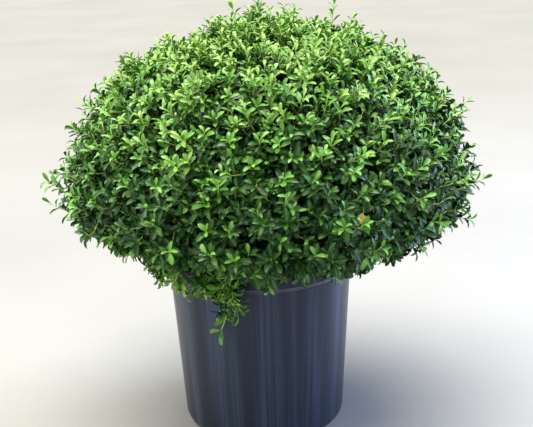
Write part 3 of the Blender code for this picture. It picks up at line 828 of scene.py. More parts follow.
def make_stem_mesh():
    """The stem from its root flare, which is drawn out into lobes, up to its knobbly round head."""
    foot = MIX_TOP + CLEAR
    rises = [(0.0, STEM_FOOT_RADIUS), (0.005, STEM_FOOT_RADIUS * 0.86), (0.012, STEM_RADIUS * 1.18)]
    rises += [(0.024, STEM_RADIUS * 1.02), (0.038, STEM_RADIUS)]
    points = [stem_axis(foot + rise) for rise, _ in rises]
    radii = [radius for _, radius in rises]
    for angle in range(-45, 86, 10):
        turn = math.radians(angle)
        points.append(stem_axis(HEAD_HEIGHT + HEAD_RADIUS * math.sin(turn)))
        radii.append(HEAD_RADIUS * math.cos(turn))
    points, radii = denser(points, radii, STEM_RINGS)
    shape = limb_shape(points, radii, STEM_SIDES)
    for vert in shape.verts:
        flare = max(0.0, 1 - (vert.co.z - foot) / FLARE_HEIGHT)
        out = vert.co - stem_axis(vert.co.z)
        lobe = LOBE_DEPTH * flare * math.cos(ROOT_LOBES * math.atan2(out.y, out.x))
        vert.co.x += out.x * lobe
        vert.co.y += out.y * lobe
        vert.co.z = max(vert.co.z, foot)
    return mesh_from("stem", shape)


stem_mesh = make_stem_mesh()
print("stem:", triangles(stem_mesh), "triangles")

# %% [markdown]
# ## Bark
#
# The bark of a young holly is thin and grey-brown, with small raised pores. A noise gives it darker and
# paler patches, a finer one its pores, and it is dull all over. The same recipe with other colours serves
# the twigs, which are olive, and the young shoots, which are yellow-green and a little smoother.

# %% Material of bark and of shoots
PORES = 6                       # pores across one grain of the bark


def bark(name, dark, pale, grain, roughness):
    """Bark or shoot skin: in patches one grain across, finely pitted and dull."""
    material, shader, place = new_material(name)
    patches = add_node(material, "ShaderNodeTexNoise", {"Vector": place, "Scale": 1 / grain, "Detail": 4.0})
    share = add_node(material, "ShaderNodeMapRange", {"Value": patches, "From Min": 0.3, "From Max": 0.7})
    tone = add_node(material, "ShaderNodeMix", {
        0: share, 6: linear(dark), 7: linear(pale)}, data_type="RGBA")
    pores = add_node(material, "ShaderNodeTexNoise", {"Vector": place, "Scale": PORES / grain})
    relief = add_node(material, "ShaderNodeBump", {"Height": pores, "Strength": 0.5, "Distance": 0.0004})
    set_inputs(material, shader, {"Base Color": tone, "Normal": relief, "Roughness": roughness})
    return material


HOLLY_BARK = bark("grey_brown_holly_bark", "#3c3229", "#7b6c58", grain=0.004, roughness=0.85)
add_piece("stem_with_root_flare", stem_mesh, HOLLY_BARK, "bark", "stem")
print("stem dressed")

# %% [markdown]
# ## The crown's form
#
# A clipped dome is half an ellipsoid over a shallow dish, with gentle swellings where the shears passed
# lightly. Everything in it is placed by three numbers: an azimuth round the stem, a tilt from the top (0)
# past the widest ring (90) to the underside, and a reach, the share of the way from the crown's centre to
# its surface. The foliage is parted into a cap, six masses in the ring below it, and a trailing spray.

# %% The crown's form and its masses
CROWN_CENTRE = Vector((0.012, 0.0, 0.385))
CROWN_RADIUS = 0.318
CROWN_RISE = 0.275
CROWN_DROP = 0.125
CROWN_LEAN = 0.009              # how far the top stands aside of the centre
UNDERCUT = 0.10
LUMP = 0.022                    # height of the swellings, as a share of the reach
CAP_TILT = 38.0
SECTORS = {
    "front": -84.0, "front_right": -24.0, "back_right": 36.0,
    "back": 96.0, "back_left": 156.0, "front_left": 216.0,
}
GOLDEN_ANGLE = 137.508
MASSES = ["foliage_top"] + ["foliage_" + name for name in SECTORS] + ["foliage_trailing"]


def crown_point(azimuth, tilt, reach=1.0):
    """A point of the crown's form: tilt 0 is its top, 90 its widest ring, more is its underside."""
    turn = math.radians(azimuth)
    lean = math.radians(tilt)
    swell = math.sin(3 * turn + 0.7) * math.sin(2 * lean) + 0.7 * math.sin(5 * turn - 1.1 + 2 * lean)
    reach *= 1 + LUMP * swell * math.sin(lean)
    out = CROWN_RADIUS * math.sin(lean) * reach
    up = math.cos(lean) * reach
    height = CROWN_RISE if up > 0 else CROWN_DROP
    place = CROWN_CENTRE + Vector((CROWN_LEAN * max(0.0, up), 0, up * height))
    if tilt > 90:
        out *= 1 - UNDERCUT * math.sin(math.radians(min(90, 2 * (tilt - 90))))
    return place + Vector((out * math.cos(turn), out * math.sin(turn), 0))


def mass_of(azimuth, tilt):
    """Names the mass of foliage that a place on the crown belongs to."""
    if tilt < CAP_TILT:
        return "top"
    return min(SECTORS, key=lambda name: abs((azimuth - SECTORS[name] + 180) % 360 - 180))


print("crown:", len(MASSES), "masses, top at", round(crown_point(0, 0).z, 3), "m")

# %% [markdown]
# ## Boughs
#
# One bough leaves the stem's head for each mass and runs in a shallow curve towards the mass's middle.
# They are short and mostly hidden, but from below and through the gaps they are what holds the crown up.

# %% The boughs
BOUGH_TILT = 78.0
BOUGH_END = 0.60
BOUGH_HEADS_FOR = 0.80
BOUGH_RADII = (0.0048, 0.0031)  # at the root and at the tip
BOUGH_CLIMB = 0.12              # how steeply, at the least, a bough leaves the head
BOUGH_KNOTS = 24
HEAD_SEAT = 0.8                 # how far out in the head a bough starts, as a share of its radius


def bough_path(end, onward, sag=0.0):
    """A bough's path from inside the stem's head out to its end, where it heads onward."""
    head = stem_axis(HEAD_HEIGHT)
    outward = (end - head).normalized()
    outward.z = max(outward.z, BOUGH_CLIMB) - sag
    outward.normalize()
    start = head + outward * HEAD_RADIUS * HEAD_SEAT
    third = (end - start).length / 3
    return sweep(start, start + outward * third, end - onward * third, end, BOUGH_KNOTS)


def mass_middle(name):
    """Azimuth and tilt of the place that a mass's bough makes for."""
    return (0.0, 0.0) if name == "top" else (SECTORS[name], BOUGH_TILT)


class Limb:
    """One limb of the crown: its path, and the radius at its root and at its tip."""

    def __init__(self, mass, points, root, tip):
        self.mass = mass
        self.points = points
        self.root = root
        self.tip = tip

    def place_of(self, share):
        """A share of the way along as a knot's number and the share of the way on to the next one."""
        place = min(share, 0.9999) * (len(self.points) - 1)
        return int(place), place % 1

    def at(self, share):
        """The point a share of the way along."""
        knot, onward = self.place_of(share)
        return self.points[knot].lerp(self.points[knot + 1], onward)

    def along(self, share):
        """The direction a share of the way along."""
        knot, _ = self.place_of(share)
        return (self.points[knot + 1] - self.points[knot]).normalized()


boughs = []
for name in ("top", *SECTORS):
    azimuth, tilt = mass_middle(name)
    end = crown_point(azimuth, tilt, BOUGH_END)
    onward = (crown_point(azimuth, tilt, BOUGH_HEADS_FOR) - end).normalized()
    boughs.append(Limb(name, bough_path(end, onward), *BOUGH_RADII))
print("boughs:", len(boughs), "from", round(boughs[0].root * 2000, 1), "mm thick")

# %% [markdown]
# ## Branching
#
# From a bough's tip the limbs fork again and again, each order shorter and thinner and closer to the
# surface. Growing them step by step from the stem would be truer to life, but it leaves bald patches on a
# dome this smooth. So the rule runs the other way for every order: places are spread evenly over the crown
# at a certain pitch and depth, and each place is reached from the nearest limb of the order before, in the
# same mass. A limb leaves its parent with the parent's heading and arrives heading out and up, as shoots
# do that grow towards the light.

# %% Even places over the crown
FIRST_ROW = 3                   # tilt of the first row of places, and where the last row is past
LAST_ROW = 139
ROW_SPACING = 0.87              # metres between rows for each metre between places in a row
LEAST_IN_ROW = 3
STEEPEST = 0.2                  # near the top, azimuths spread no wider than on this share of the girth


def even_places(pitch, jitter, chance):
    """Rows of places on the crown, even on all sides, as azimuth and tilt in degrees."""
    walked = pitch
    turn = 0.0
    for tilt in range(FIRST_ROW, LAST_ROW):
        walked += (crown_point(0, tilt) - crown_point(0, tilt - 1)).length
        if walked < pitch * ROW_SPACING:
            continue
        walked -= pitch * ROW_SPACING
        turn += GOLDEN_ANGLE
        around = math.tau * CROWN_RADIUS * math.sin(math.radians(tilt))
        count = max(LEAST_IN_ROW, round(around / pitch))
        wander = math.degrees(jitter * pitch / CROWN_RADIUS)
        for place in range(count):
            side = chance.uniform(-wander, wander) / max(STEEPEST, math.sin(math.radians(tilt)))
            yield turn + 360 * place / count + side, abs(tilt + chance.uniform(-wander, wander))


print("places 22 mm apart:", sum(1 for _ in even_places(0.022, 0.3, random.Random(1))))

# %% [markdown]
# ## One order of limbs
#
# Every order is grown by one function, which is told how thick, how steep and how far out its limbs are.
# The crown is drawn in a little at its lower left and below its top, where the shears cut closer. Whole
# tufts stand out or lie back by a slow noise, and low in the crown some limbs are missing. The finest
# limbs are the side shoots and the leaders, whose tips make the crown's surface.

# %% Where the crown is drawn in
LEFT_TUCK = 0.12                # how far the lower left is drawn in, as a share of the reach
LEFT_TUCK_TILTS = (90.0, 122.0)
TOP_TUCK = 0.045                # and the round shoulder below the top
TOP_TUCK_TILTS = (6.0, 48.0)
TOP_TUCK_EVEN = 0.75            # the shoulder's share all round, and what is added on the left
TOP_TUCK_LEFT = 0.35


def share_between(value, low, high):
    """How far a value has gone from low to high, held between 0 and 1."""
    return min(1.0, max(0.0, (value - low) / (high - low)))


def drawn_in(azimuth, tilt):
    """How much less far the crown reaches here than its plain form does."""
    left = -math.cos(math.radians(azimuth))
    under = share_between(tilt, *LEFT_TUCK_TILTS)
    shoulder = math.sin(math.pi * share_between(tilt, *TOP_TUCK_TILTS))
    top_tuck = TOP_TUCK * shoulder * (TOP_TUCK_EVEN + TOP_TUCK_LEFT * left)
    return LEFT_TUCK * max(0.0, left) * under + top_tuck


print("drawn in at the lower left by", round(drawn_in(180, 120), 3), "of the reach")

# %% One limb
SHADE_TILT = 100.0              # from here on, limbs bend up less and less
DROOP_TILT = 130.0              # and from here on they hang
DROOP = 1.3
WANDER = 0.28                   # how much a limb's heading strays from straight out
SEATS = (0.45, 1.0)             # where on its parent a limb may leave
BEND = 0.38                     # how much of a limb's length its ends take to turn
POT_ROOM = 0.003


def clears_pot(point):
    """Whether a point is above the pot's mouth or well outside its wall."""
    return point.z > POT_HEIGHT + POT_ROOM or math.hypot(point.x, point.y) > RIM_RADIUS + POT_ROOM


def heading(end, tilt, climb, chance):
    """The way a limb ends: out from the crown's centre, bent up to the sky, with some wandering."""
    shaded = share_between(tilt, SHADE_TILT, DROOP_TILT)
    way = (end - CROWN_CENTRE).normalized() + Vector((0, 0, climb * (1 - DROOP * shaded)))
    return (way + Vector([chance.gauss(0, WANDER) for _ in range(3)])).normalized()


def grow_limb(parents, end, way, radii, knots, chance):
    """Grows a limb from the nearest parent to its end, where it heads along way."""
    parent = min(parents, key=lambda limb: (limb.points[-1] - end).length_squared)
    seat = chance.uniform(*SEATS)
    start = parent.at(seat)
    bend = (end - start).length * BEND
    leave = (parent.along(seat) + (end - start).normalized()).normalized() * bend
    return Limb(parent.mass, sweep(start, start + leave, end - way * bend, end, knots), *radii)


print("limbs keep", POT_ROOM * 1000, "mm away from the pot")

# %% Every order of limbs
LIFT = 7.0                      # degrees that a limb's end leans up towards the crown's top
TOPMOST = 0.5                   # but no nearer to the top than this tilt
TUFT = 0.035                    # how far whole tufts stand out or lie back, as a share of the reach
TUFT_SIZE = 0.06                # metres from one tuft to the next
LOOSE_TILT = 112.0              # from this tilt on, the crown is loose and some limbs are missing


def grow_order(parents, places, chance, reach, spread, radii, climb, knots, loose):
    """Grows one limb to each place, from the nearest parent in the same mass.

    The limbs end at about reach, give or take spread, and turn up to the sky as climb says. Low in the
    crown, a loose share of them is missing.
    """
    tips = {}
    for parent in parents:
        tips.setdefault(parent.mass, []).append(parent)
    grown = []
    for azimuth, tilt in places:
        lift = LIFT * math.sin(math.radians(tilt))
        tuft = TUFT * noise.noise(crown_point(azimuth, tilt) / TUFT_SIZE)
        share = reach * (1 + chance.uniform(-spread, spread) + tuft) * (1 - drawn_in(azimuth, tilt))
        end = crown_point(azimuth, max(tilt - lift, TOPMOST), share)
        way = heading(end, tilt, climb, chance)
        limb = grow_limb(tips[mass_of(azimuth, tilt)], end, way, radii, knots, chance)
        kept = chance.random() > loose * (tilt > LOOSE_TILT)
        if kept and all(clears_pot(point) for point in limb.points):
            grown.append(limb)
    return grown


LEADER_RADII = (0.0011, 0.0007)
LEADER_KNOTS = 8
chance = random.Random(7)
branches = grow_order(boughs, even_places(0.150, 0.2, chance), chance, reach=0.68, spread=0.04,
                      radii=(0.0028, 0.0020), climb=0.2, knots=8, loose=0.2)
branchlets = grow_order(branches, even_places(0.075, 0.25, chance), chance, reach=0.79, spread=0.04,
                        radii=(0.0019, 0.0013), climb=0.35, knots=7, loose=0.2)
twigs = grow_order(branchlets, even_places(0.044, 0.3, chance), chance, reach=0.87, spread=0.03,
                   radii=(0.0012, 0.0009), climb=0.5, knots=6, loose=0.3)
side_shoots = grow_order(twigs, even_places(0.0215, 0.45, chance), chance, reach=0.93, spread=0.035,
                         radii=(0.0010, 0.0006), climb=0.8, knots=6, loose=0.6)
leaders = grow_order(twigs, even_places(0.0305, 0.5, chance), chance, reach=0.975, spread=0.055,
                     radii=LEADER_RADII, climb=0.9, knots=LEADER_KNOTS, loose=0.4)
print("limbs:", len(branches), "branches,", len(branchlets), "branchlets,", len(twigs), "twigs,",
      len(side_shoots), "side shoots,", len(leaders), "leaders")

# %% [markdown]
# ## Shoots that the shears missed
#
# A few shoots stand a finger's width or two out of the dome, and at its front left edge some hang over the
# pot's rim. One long spray trails down the pot's side on a bough of its own. They are what keeps a clipped
# shrub from looking like a ball of felt, so each is set by where its tip is, and grown by the same rule as
# the rest.

# %% Long and hanging shoots
LONG_REACH = 1.06
LONG_REACH_VARIES = (0.98, 1.02)
LONG_CLIMB = 0.5
LONG_SHOOTS = (                 # azimuth and tilt of the shoots that stand out furthest
    (178, 84), (188, 90), (172, 70), (-4, 88), (-20, 101), (6, 66), (150, 10), (20, 19), (80, 30),
    (176, 60), (199, 80), (-30, 80), (62, 84), (118, 76), (250, 12),
)
SKIRT_SHOOTS = 24
SKIRT_AZIMUTHS = (-158, -100)   # the stretch of the rim that they hang over
SKIRT_OUT = (0.172, 0.196)      # how far from the pot's axis they end, and how high
SKIRT_TIPS = (0.268, 0.292)
SKIRT_STRAY = 40                # degrees that they stray from straight out
SKIRT_FALL = (-1.2, 0.1)        # how steeply they end, for each metre that they go out
SKIRT_TWIGS_BELOW = 0.36        # they grow from the twigs that end below this height


def polar(azimuth, radius, height):
    """A point, or a direction, from its azimuth, its distance from the Z axis and its height."""
    turn = math.radians(azimuth)
    return Vector((radius * math.cos(turn), radius * math.sin(turn), height))


def grow_long_shoots(parents, chance):
    """The shoots that stand out of the dome."""
    grown = []
    for azimuth, tilt in LONG_SHOOTS:
        end = crown_point(azimuth, tilt, LONG_REACH * chance.uniform(*LONG_REACH_VARIES))
        way = heading(end, tilt, LONG_CLIMB, chance)
        grown.append(grow_limb(parents, end, way, LEADER_RADII, LEADER_KNOTS, chance))
    return grown


def grow_skirt(parents, chance):
    """The shoots that hang over the rim, where they find room outside the pot."""
    grown = []
    for number in range(SKIRT_SHOOTS):
        share = (number + chance.uniform(0.2, 0.8)) / SKIRT_SHOOTS
        azimuth = SKIRT_AZIMUTHS[0] + (SKIRT_AZIMUTHS[1] - SKIRT_AZIMUTHS[0]) * share
        end = polar(azimuth, chance.uniform(*SKIRT_OUT), chance.uniform(*SKIRT_TIPS))
        way = polar(azimuth + chance.gauss(0, SKIRT_STRAY), 1.0, chance.uniform(*SKIRT_FALL)).normalized()
        limb = grow_limb(parents, end, way, LEADER_RADII, LEADER_KNOTS, chance)
        if all(clears_pot(point) for point in limb.points):
            grown.append(limb)
    return grown


chance = random.Random(19)
long_shoots = grow_long_shoots(twigs, chance)
skirt = grow_skirt([limb for limb in twigs if limb.points[-1].z < SKIRT_TWIGS_BELOW], chance)
print("long shoots:", len(long_shoots), "and", len(skirt), "over the rim")

# %% [markdown]
# ## The trailing spray
#
# The long spray has a low bough of its own, arches over the rim and hangs beside the pot's wall. Its main
# shoot is one smooth curve that is carried outward first, and a little aside as it falls. Side shoots
# leave it in turn to either hand, shorter towards its tip.

# %% The spray's bough and main shoot
TRAIL_AZIMUTH = -114.0
TRAIL_OUT = 0.163               # how far from the pot's axis it hangs, and the heights it hangs between
TRAIL_TOP = 0.3005
TRAIL_TIP = 0.215
TRAIL_SAG = 0.14                # how far its bough's start is tipped down
TRAIL_DIP = 0.25                # how steeply the bough's end and the shoot's start point down
TRAIL_ARCH = 0.022              # how far the shoot goes on outward before it falls
TRAIL_HANG = 0.070
TRAIL_SWAY = 0.030              # how far aside it bows as it hangs
TRAIL_ASIDE = 0.2               # how much of that is left at its tip
TRAIL_BEYOND = 0.006            # how much further the finished shoot hangs than its plain solid
TRAIL_KNOTS = 18
TRAIL_BOUGH_RADII = (0.0045, 0.0031)
TRAIL_RADII = (0.0022, 0.0007)


def grow_trail():
    """The trailing spray's own bough, and the shoot that goes on from it and hangs."""
    start = polar(TRAIL_AZIMUTH, TRAIL_OUT, TRAIL_TOP)
    end = polar(TRAIL_AZIMUTH, TRAIL_OUT, TRAIL_TIP)
    outward = polar(TRAIL_AZIMUTH, 1.0, -TRAIL_DIP).normalized()
    bough = Limb("trailing", bough_path(start, outward, TRAIL_SAG), *TRAIL_BOUGH_RADII)
    sway = polar(TRAIL_AZIMUTH + 90, TRAIL_SWAY, 0.0)
    end += sway * TRAIL_ASIDE - Vector((0, 0, TRAIL_BEYOND))
    leave = start + outward * TRAIL_ARCH + sway
    arrive = end + Vector((0, 0, TRAIL_HANG)) + sway
    return bough, Limb("trailing", sweep(start, leave, arrive, end, TRAIL_KNOTS), *TRAIL_RADII)


trail_bough, trail = grow_trail()
boughs.append(trail_bough)
print("trailing shoot: from", round(trail.points[0].z, 3), "m down to", round(trail.points[-1].z, 3), "m")

# %% The spray's side shoots
TRAIL_SIDES = 11
TRAIL_SIDE_SEATS = (0.04, 0.76)
TRAIL_SIDE_LENGTH = 0.034       # of the first side shoots, and what they differ by hand and down the trail
TRAIL_SIDE_BY_HAND = 0.008
TRAIL_SIDE_TAPER = 0.022
TRAIL_SIDE_RADII = (0.0010, 0.0006)
TRAIL_SIDE_VARIES = (0.85, 1.15)
TRAIL_SIDE_ASIDE = (0.5, 1.1)   # how far to its hand a side shoot goes for each 0.8 that it falls
TRAIL_SIDE_AWAY = (0.0, 0.5)
TRAIL_SIDE_FALL = 0.8
TRAIL_SIDE_KNOTS = 6


def grow_trail_sides(trail, chance):
    """Side shoots that leave the trail in turn to either hand, shorter towards its tip."""
    grown = []
    across = polar(TRAIL_AZIMUTH + 90, 1.0, 0.0)
    away = polar(TRAIL_AZIMUTH, 1.0, 0.0)
    first, last = TRAIL_SIDE_SEATS
    for number in range(TRAIL_SIDES):
        share = first + (last - first) * number / (TRAIL_SIDES - 1)
        hand = 1 if number % 2 else -1
        length = TRAIL_SIDE_LENGTH + TRAIL_SIDE_BY_HAND * hand - TRAIL_SIDE_TAPER * share
        length *= chance.uniform(*TRAIL_SIDE_VARIES)
        way = across * hand * chance.uniform(*TRAIL_SIDE_ASIDE) + away * chance.uniform(*TRAIL_SIDE_AWAY)
        way = (way - Vector((0, 0, TRAIL_SIDE_FALL))).normalized()
        start = trail.at(share)
        end = start + way * length
        middle = start + (trail.along(share) + way * 2).normalized() * length * 0.4
        points = sweep(start, middle, end - way * length * 0.3, end, TRAIL_SIDE_KNOTS)
        if all(clears_pot(point) for point in points[1:]):
            grown.append(Limb("trailing", points, *TRAIL_SIDE_RADII))
    return grown


trail_sides = grow_trail_sides(trail, random.Random(23))
print("trailing spray:", len(trail_sides), "side shoots")

# %% [markdown]
# ## Bark on the boughs and branches
#
# Boughs and branches are thick enough for plates and furrows, so they are built as the stem is, with
# fewer sides. Each bough stands in for its own plain solid, while the branches are so many and so short
# that all of them are one piece.

# %% Dress the boughs and branches in bark
BOUGH_SIDES = 14
BOUGH_RINGS = 0.003             # metres from one ring of points to the next
BRANCH_SIDES = 8
BRANCH_RINGS = 0.008


def barked_limbs(name, limbs, sides, spacing):
    """Joins limbs that are thick enough for bark relief into one mesh."""
    whole = bmesh.new()
    for limb in limbs:
        points, radii = denser(limb.points, tapering(limb.root, limb.tip, len(limb.points)), spacing)
        mesh = mesh_from("limb", limb_shape(points, radii, sides))
        whole.from_mesh(mesh)
        bpy.data.meshes.remove(mesh)
    return mesh_from(name, whole)


for limb in boughs:
    node = "bough_" + limb.mass
    bough_mesh = barked_limbs(node + "_bark", [limb], BOUGH_SIDES, BOUGH_RINGS)
    add_piece(node + "_bark", bough_mesh, HOLLY_BARK, "bark", node)
branch_mesh = barked_limbs("branches", branches, BRANCH_SIDES, BRANCH_RINGS)
add_piece("branches", branch_mesh, HOLLY_BARK, "bark", *MASSES)
print("branches:", triangles(branch_mesh), "triangles")

# %% [markdown]
# ## Twigs and shoots
#
# Past the branches the limbs are less than 5 mm thick, and there are thousands. Curves with a bevel
# would be quick to write but slow to turn into one mesh. Each is a slim tube of three to six sides with a
# point at each end instead. All tubes of one kind have the same number of knots, so NumPy works out every
# ring of every tube in one go.

# %% Slim tubes from arrays
SLANT = (0.31, -0.24, 0.92)     # a direction that hardly any limb follows, to start each ring from


def slim_tubes(name, limbs, sides):
    """One mesh of a slim pointed tube along each limb. The limbs have the same number of points."""
    paths = np.array([[tuple(point) for point in limb.points] for limb in limbs])
    count, knots = paths.shape[:2]
    along = np.gradient(paths, axis=1)
    along /= np.linalg.norm(along, axis=2, keepdims=True)
    across = np.cross(along, np.array(SLANT))
    across /= np.linalg.norm(across, axis=2, keepdims=True)
    beside = np.cross(along, across)
    share = np.linspace(0, 1, knots)[None, :]
    roots = np.array([limb.root for limb in limbs])[:, None]
    tips = np.array([limb.tip for limb in limbs])[:, None]
    radii = (roots + (tips - roots) * share)[..., None, None]
    angles = np.arange(sides) / sides * math.tau
    wheel = across[:, :, None] * np.cos(angles)[:, None] + beside[:, :, None] * np.sin(angles)[:, None]
    rings = (paths[:, :, None] + wheel * radii).reshape(count, -1, 3)
    tip_points = paths[:, -1] + along[:, -1] * tips
    points = np.concatenate([rings, paths[:, :1], tip_points[:, None]], axis=1)
    faces = []
    for knot in range(knots - 1):
        for side in range(sides):
            here = knot * sides
            there = here + sides
            beyond = (side + 1) % sides
            faces.append((here + side, here + beyond, there + beyond, there + side))
    root = knots * sides
    tip = root + 1
    last = root - sides
    for side in range(sides):
        beyond = (side + 1) % sides
        faces.append((beyond, side, root))
        faces.append((last + side, last + beyond, tip))
    base_corners = np.concatenate([np.array(face) for face in faces])
    base_starts = np.cumsum([0] + [len(face) for face in faces[:-1]])
    step = np.arange(count)[:, None]
    corners = (base_corners + step * points.shape[1]).ravel()
    starts = (base_starts + step * len(base_corners)).ravel()
    return mesh_from_arrays(name, points.reshape(-1, 3), corners, starts)


print("helper ready: slim_tubes")

# %% [markdown]
# ## One leaf
#
# A Japanese holly leaf is an ellipse a little wider past its middle, about 20 mm long and 7 mm wide, with
# a short stalk and a blunt tip. It is folded slightly along its midrib and its tip curves down. A picture
# of a leaf on a flat card would be cheaper, but it shows from the side. Eight faces carry the real
# outline, so tens of thousands of leaves stay affordable. A grid is laid out two cells wide, its rows are
# drawn in to the leaf's outline, and its ends come together in the stalk and the tip. Three leaves that
# differ in fold and curl keep the crown from looking stamped.

# %% Leaf shapes
LEAF_ROWS = (                   # where each row lies along the leaf, and half its width
    (0.0, 0.0), (0.22, 0.25), (0.58, 0.50), (0.88, 0.38), (1.0, 0.0),
)
LEAF_FORMS = (                  # fold and curl of each form
    (0.14, 0.25), (0.20, 0.55), (0.28, 0.90),
)
CURL_DROP = 0.5                 # with a curl of 1, how far the tip drops, and how far it draws back
CURL_BACK = 0.25


def leaf_blank(fold, curl):
    """A leaf one long along X and one wide along Y, its upper side up, with its UVs."""
    shape = bmesh.new()
    layer = shape.loops.layers.uv.new("leaf")
    cells = len(LEAF_ROWS) - 1
    bmesh.ops.create_grid(shape, x_segments=cells, y_segments=2, size=0.5)
    for face in shape.faces:
        for corner in face.loops:
            corner[layer].uv = (corner.vert.co.x + 0.5, corner.vert.co.y + 0.5)
    for vert in shape.verts:
        share, half = LEAF_ROWS[round((vert.co.x + 0.5) * cells)]
        side = vert.co.y * 2 * half
        bend = curl * share * share
        vert.co = Vector((share - CURL_BACK * bend * share, side, fold * abs(side) - CURL_DROP * bend))
    bmesh.ops.remove_doubles(shape, verts=shape.verts, dist=0.001)
    mesh = bpy.data.meshes.new("leaf")
    shape.to_mesh(mesh)
    shape.free()
    return mesh


leaf_blanks = [leaf_blank(fold, curl) for fold, curl in LEAF_FORMS]
print("triangles of each leaf form:", [triangles(leaf) for leaf in leaf_blanks])

# %% [markdown]
# ## Leaves on their shoots
#
# Leaves sit round a shoot in a spiral, each a golden angle on from the last. Old leaves near the foot
# stand well out. Towards the tip they close up into a rosette of smaller, paler ones. Each turns its
# upper side along the shoot and a little to the sky. The colour belongs to the age of shoot and leaf,
# and it also paints light and shade: paler high in the crown, darker low and inside it. So a list of
# leaves is kept for each tint, and each list becomes a few pieces.

# %% The place of one leaf
LEAF_LENGTH = 0.0195
LEAF_RATIO = 0.34               # width over length of a leaf, and of a new one
YOUNG_RATIO = 0.35
WIDTHS = (0.85, 1.15)           # how far a leaf's width strays from that
FORM_DRAW = (0, 1, 1, 2)        # every other leaf has the middle form
TINTS = ("young", "fresh", "green", "deep", "shade", "turned")
leaves = {tint: [] for tint in TINTS}
BOX_ROOM = 0.016                # how far past the solids' box a leaf may reach


def inside_box(point):
    """Whether a leaf's tip stays about as far out as the plain solids do."""
    low, high = solid_box
    return all(low[axis] - BOX_ROOM < point[axis] < high[axis] + BOX_ROOM for axis in range(3))


def add_leaf(tint, root, way, face, length, chance):
    """Adds one leaf if it has room: it runs along way from its root, with its upper side to face."""
    side = face.cross(way).normalized()
    top = way.cross(side).normalized()
    tip = root + way * length
    if not (clears_pot(root.lerp(tip, 0.5)) and clears_pot(tip) and inside_box(tip)):
        return
    ratio = YOUNG_RATIO if tint == "young" else LEAF_RATIO
    width = length * ratio * chance.uniform(*WIDTHS)
    form = chance.choice(FORM_DRAW)
    turn = np.array((way * length, side * width, top * length)).T
    leaves[tint].append((form, turn, tuple(root)))


print("tints:", ", ".join(TINTS))

# %% Leaves in a spiral
LENGTHS = (0.8, 1.2)            # how far a leaf's length strays from the usual one there
TURN_STRAY = 14                 # degrees that a leaf strays round its shoot, and away from it
SPREAD_STRAY = 12
LEAF_RISE = 0.12                # how much each leaf leans up
FACE_STRAY = 0.35               # how much its upper side turns aside


def dress(limb, seats, tint_of, length_of, spread_of, sky, chance):
    """Sets leaves in a spiral along a limb, at the seats given as shares of its length."""
    turn = chance.uniform(0, 360)
    for seat in seats:
        turn += GOLDEN_ANGLE + chance.uniform(-TURN_STRAY, TURN_STRAY)
        axis = limb.along(seat)
        side = axis.orthogonal().normalized()
        side.rotate(Matrix.Rotation(math.radians(turn), 3, axis))
        spread = math.radians(spread_of(seat) + chance.uniform(-SPREAD_STRAY, SPREAD_STRAY))
        way = axis * math.cos(spread) + side * math.sin(spread)
        face = axis * math.sin(spread) - side * math.cos(spread)
        way = (way + Vector((0, 0, LEAF_RISE))).normalized()
        face += Vector((0, 0, sky)) + side.cross(axis) * chance.uniform(-FACE_STRAY, FACE_STRAY)
        tint = tint_of(seat)
        size = length_of(seat) * chance.uniform(*LENGTHS)
        add_leaf(tint, limb.at(seat), way, face, size, chance)


print("from leaf to leaf:", GOLDEN_ANGLE, "degrees, give or take", TURN_STRAY)

# %% Leaves of the shoots
TURNED_SHARE = 0.003            # few leaves have turned yellow, and only old ones
TURNED_BEFORE = 0.55
YOUTH_OF_TINT = (               # how young a leaf is, at the least, to have each tint
    ("young", 0.60), ("fresh", 0.25), ("green", -0.03), ("deep", -9.0),
)
AGEING = 1.25                   # how much younger a leaf at a shoot's tip is than one at its foot
SHOOT_AGE_AT = 0.88             # the seat where a leaf is as young as its shoot
LOW_LEAF = 1.20                 # a leaf's length at the crown's shaded middle and at its top
TOP_LEAF = 0.92
ROSETTE = 0.7                   # where the rosette at the tip starts, and how much shorter its leaves are
CLOSING = 0.30
CROWDING = 1.15                 # above 1, the leaves sit closer together towards the tip
FOOT_SPREAD = 74                # degrees between shoot and leaf at the foot, and what is lost by the tip
TIP_CLOSES = 38
SKYWARD = 0.4                   # how much a leaf turns its upper side to the sky
SUNLIT = 0.22                   # how much younger shoots are in full light: a share that grows evenly
SUNLIT_BOOST = 0.74             # with the light, and one that grows faster and faster


def shoot_seats(count, foot):
    """Shares of a shoot's length where its leaves sit, closer together towards the tip."""
    return [foot + (1 - foot) * (1 - (1 - step / (count - 1)) ** CROWDING) for step in range(count)]


def light_on(limb):
    """How much sky a limb's tip sees, from about -0.4 under the crown to 1 on its top."""
    return (limb.points[-1].z - CROWN_CENTRE.z) / CROWN_RISE


def vigour_in(light):
    """How much younger, and so paler, a shoot's leaves in this light are than in the crown's shade: partly
    age, partly painted light.
    """
    return SUNLIT * max(0.0, light) + SUNLIT_BOOST * light * light


def dress_shoot(shoot, count, foot, vigour, chance, size=1.0):
    """Leaves of one outer shoot: pale and small in the tip's rosette, darker and larger further down."""
    light = light_on(shoot)

    def tint_of(seat):
        if seat < TURNED_BEFORE and chance.random() < TURNED_SHARE:
            return "turned"
        youth = vigour + (seat - SHOOT_AGE_AT) * AGEING
        return next(tint for tint, least in YOUTH_OF_TINT if youth > least)

    def length_of(seat):
        grown = LOW_LEAF - (LOW_LEAF - TOP_LEAF) * max(0.0, light)
        return size * LEAF_LENGTH * grown * (1 - CLOSING * share_between(seat, ROSETTE, 1.0))

    def spread_of(seat):
        return FOOT_SPREAD - TIP_CLOSES * seat

    dress(shoot, shoot_seats(count, foot), tint_of, length_of, spread_of, SKYWARD, chance)


tip_lights = [light_on(shoot) for shoot in leaders]
print("light on the leaders: from", round(min(tip_lights), 2), "to", round(max(tip_lights), 2))
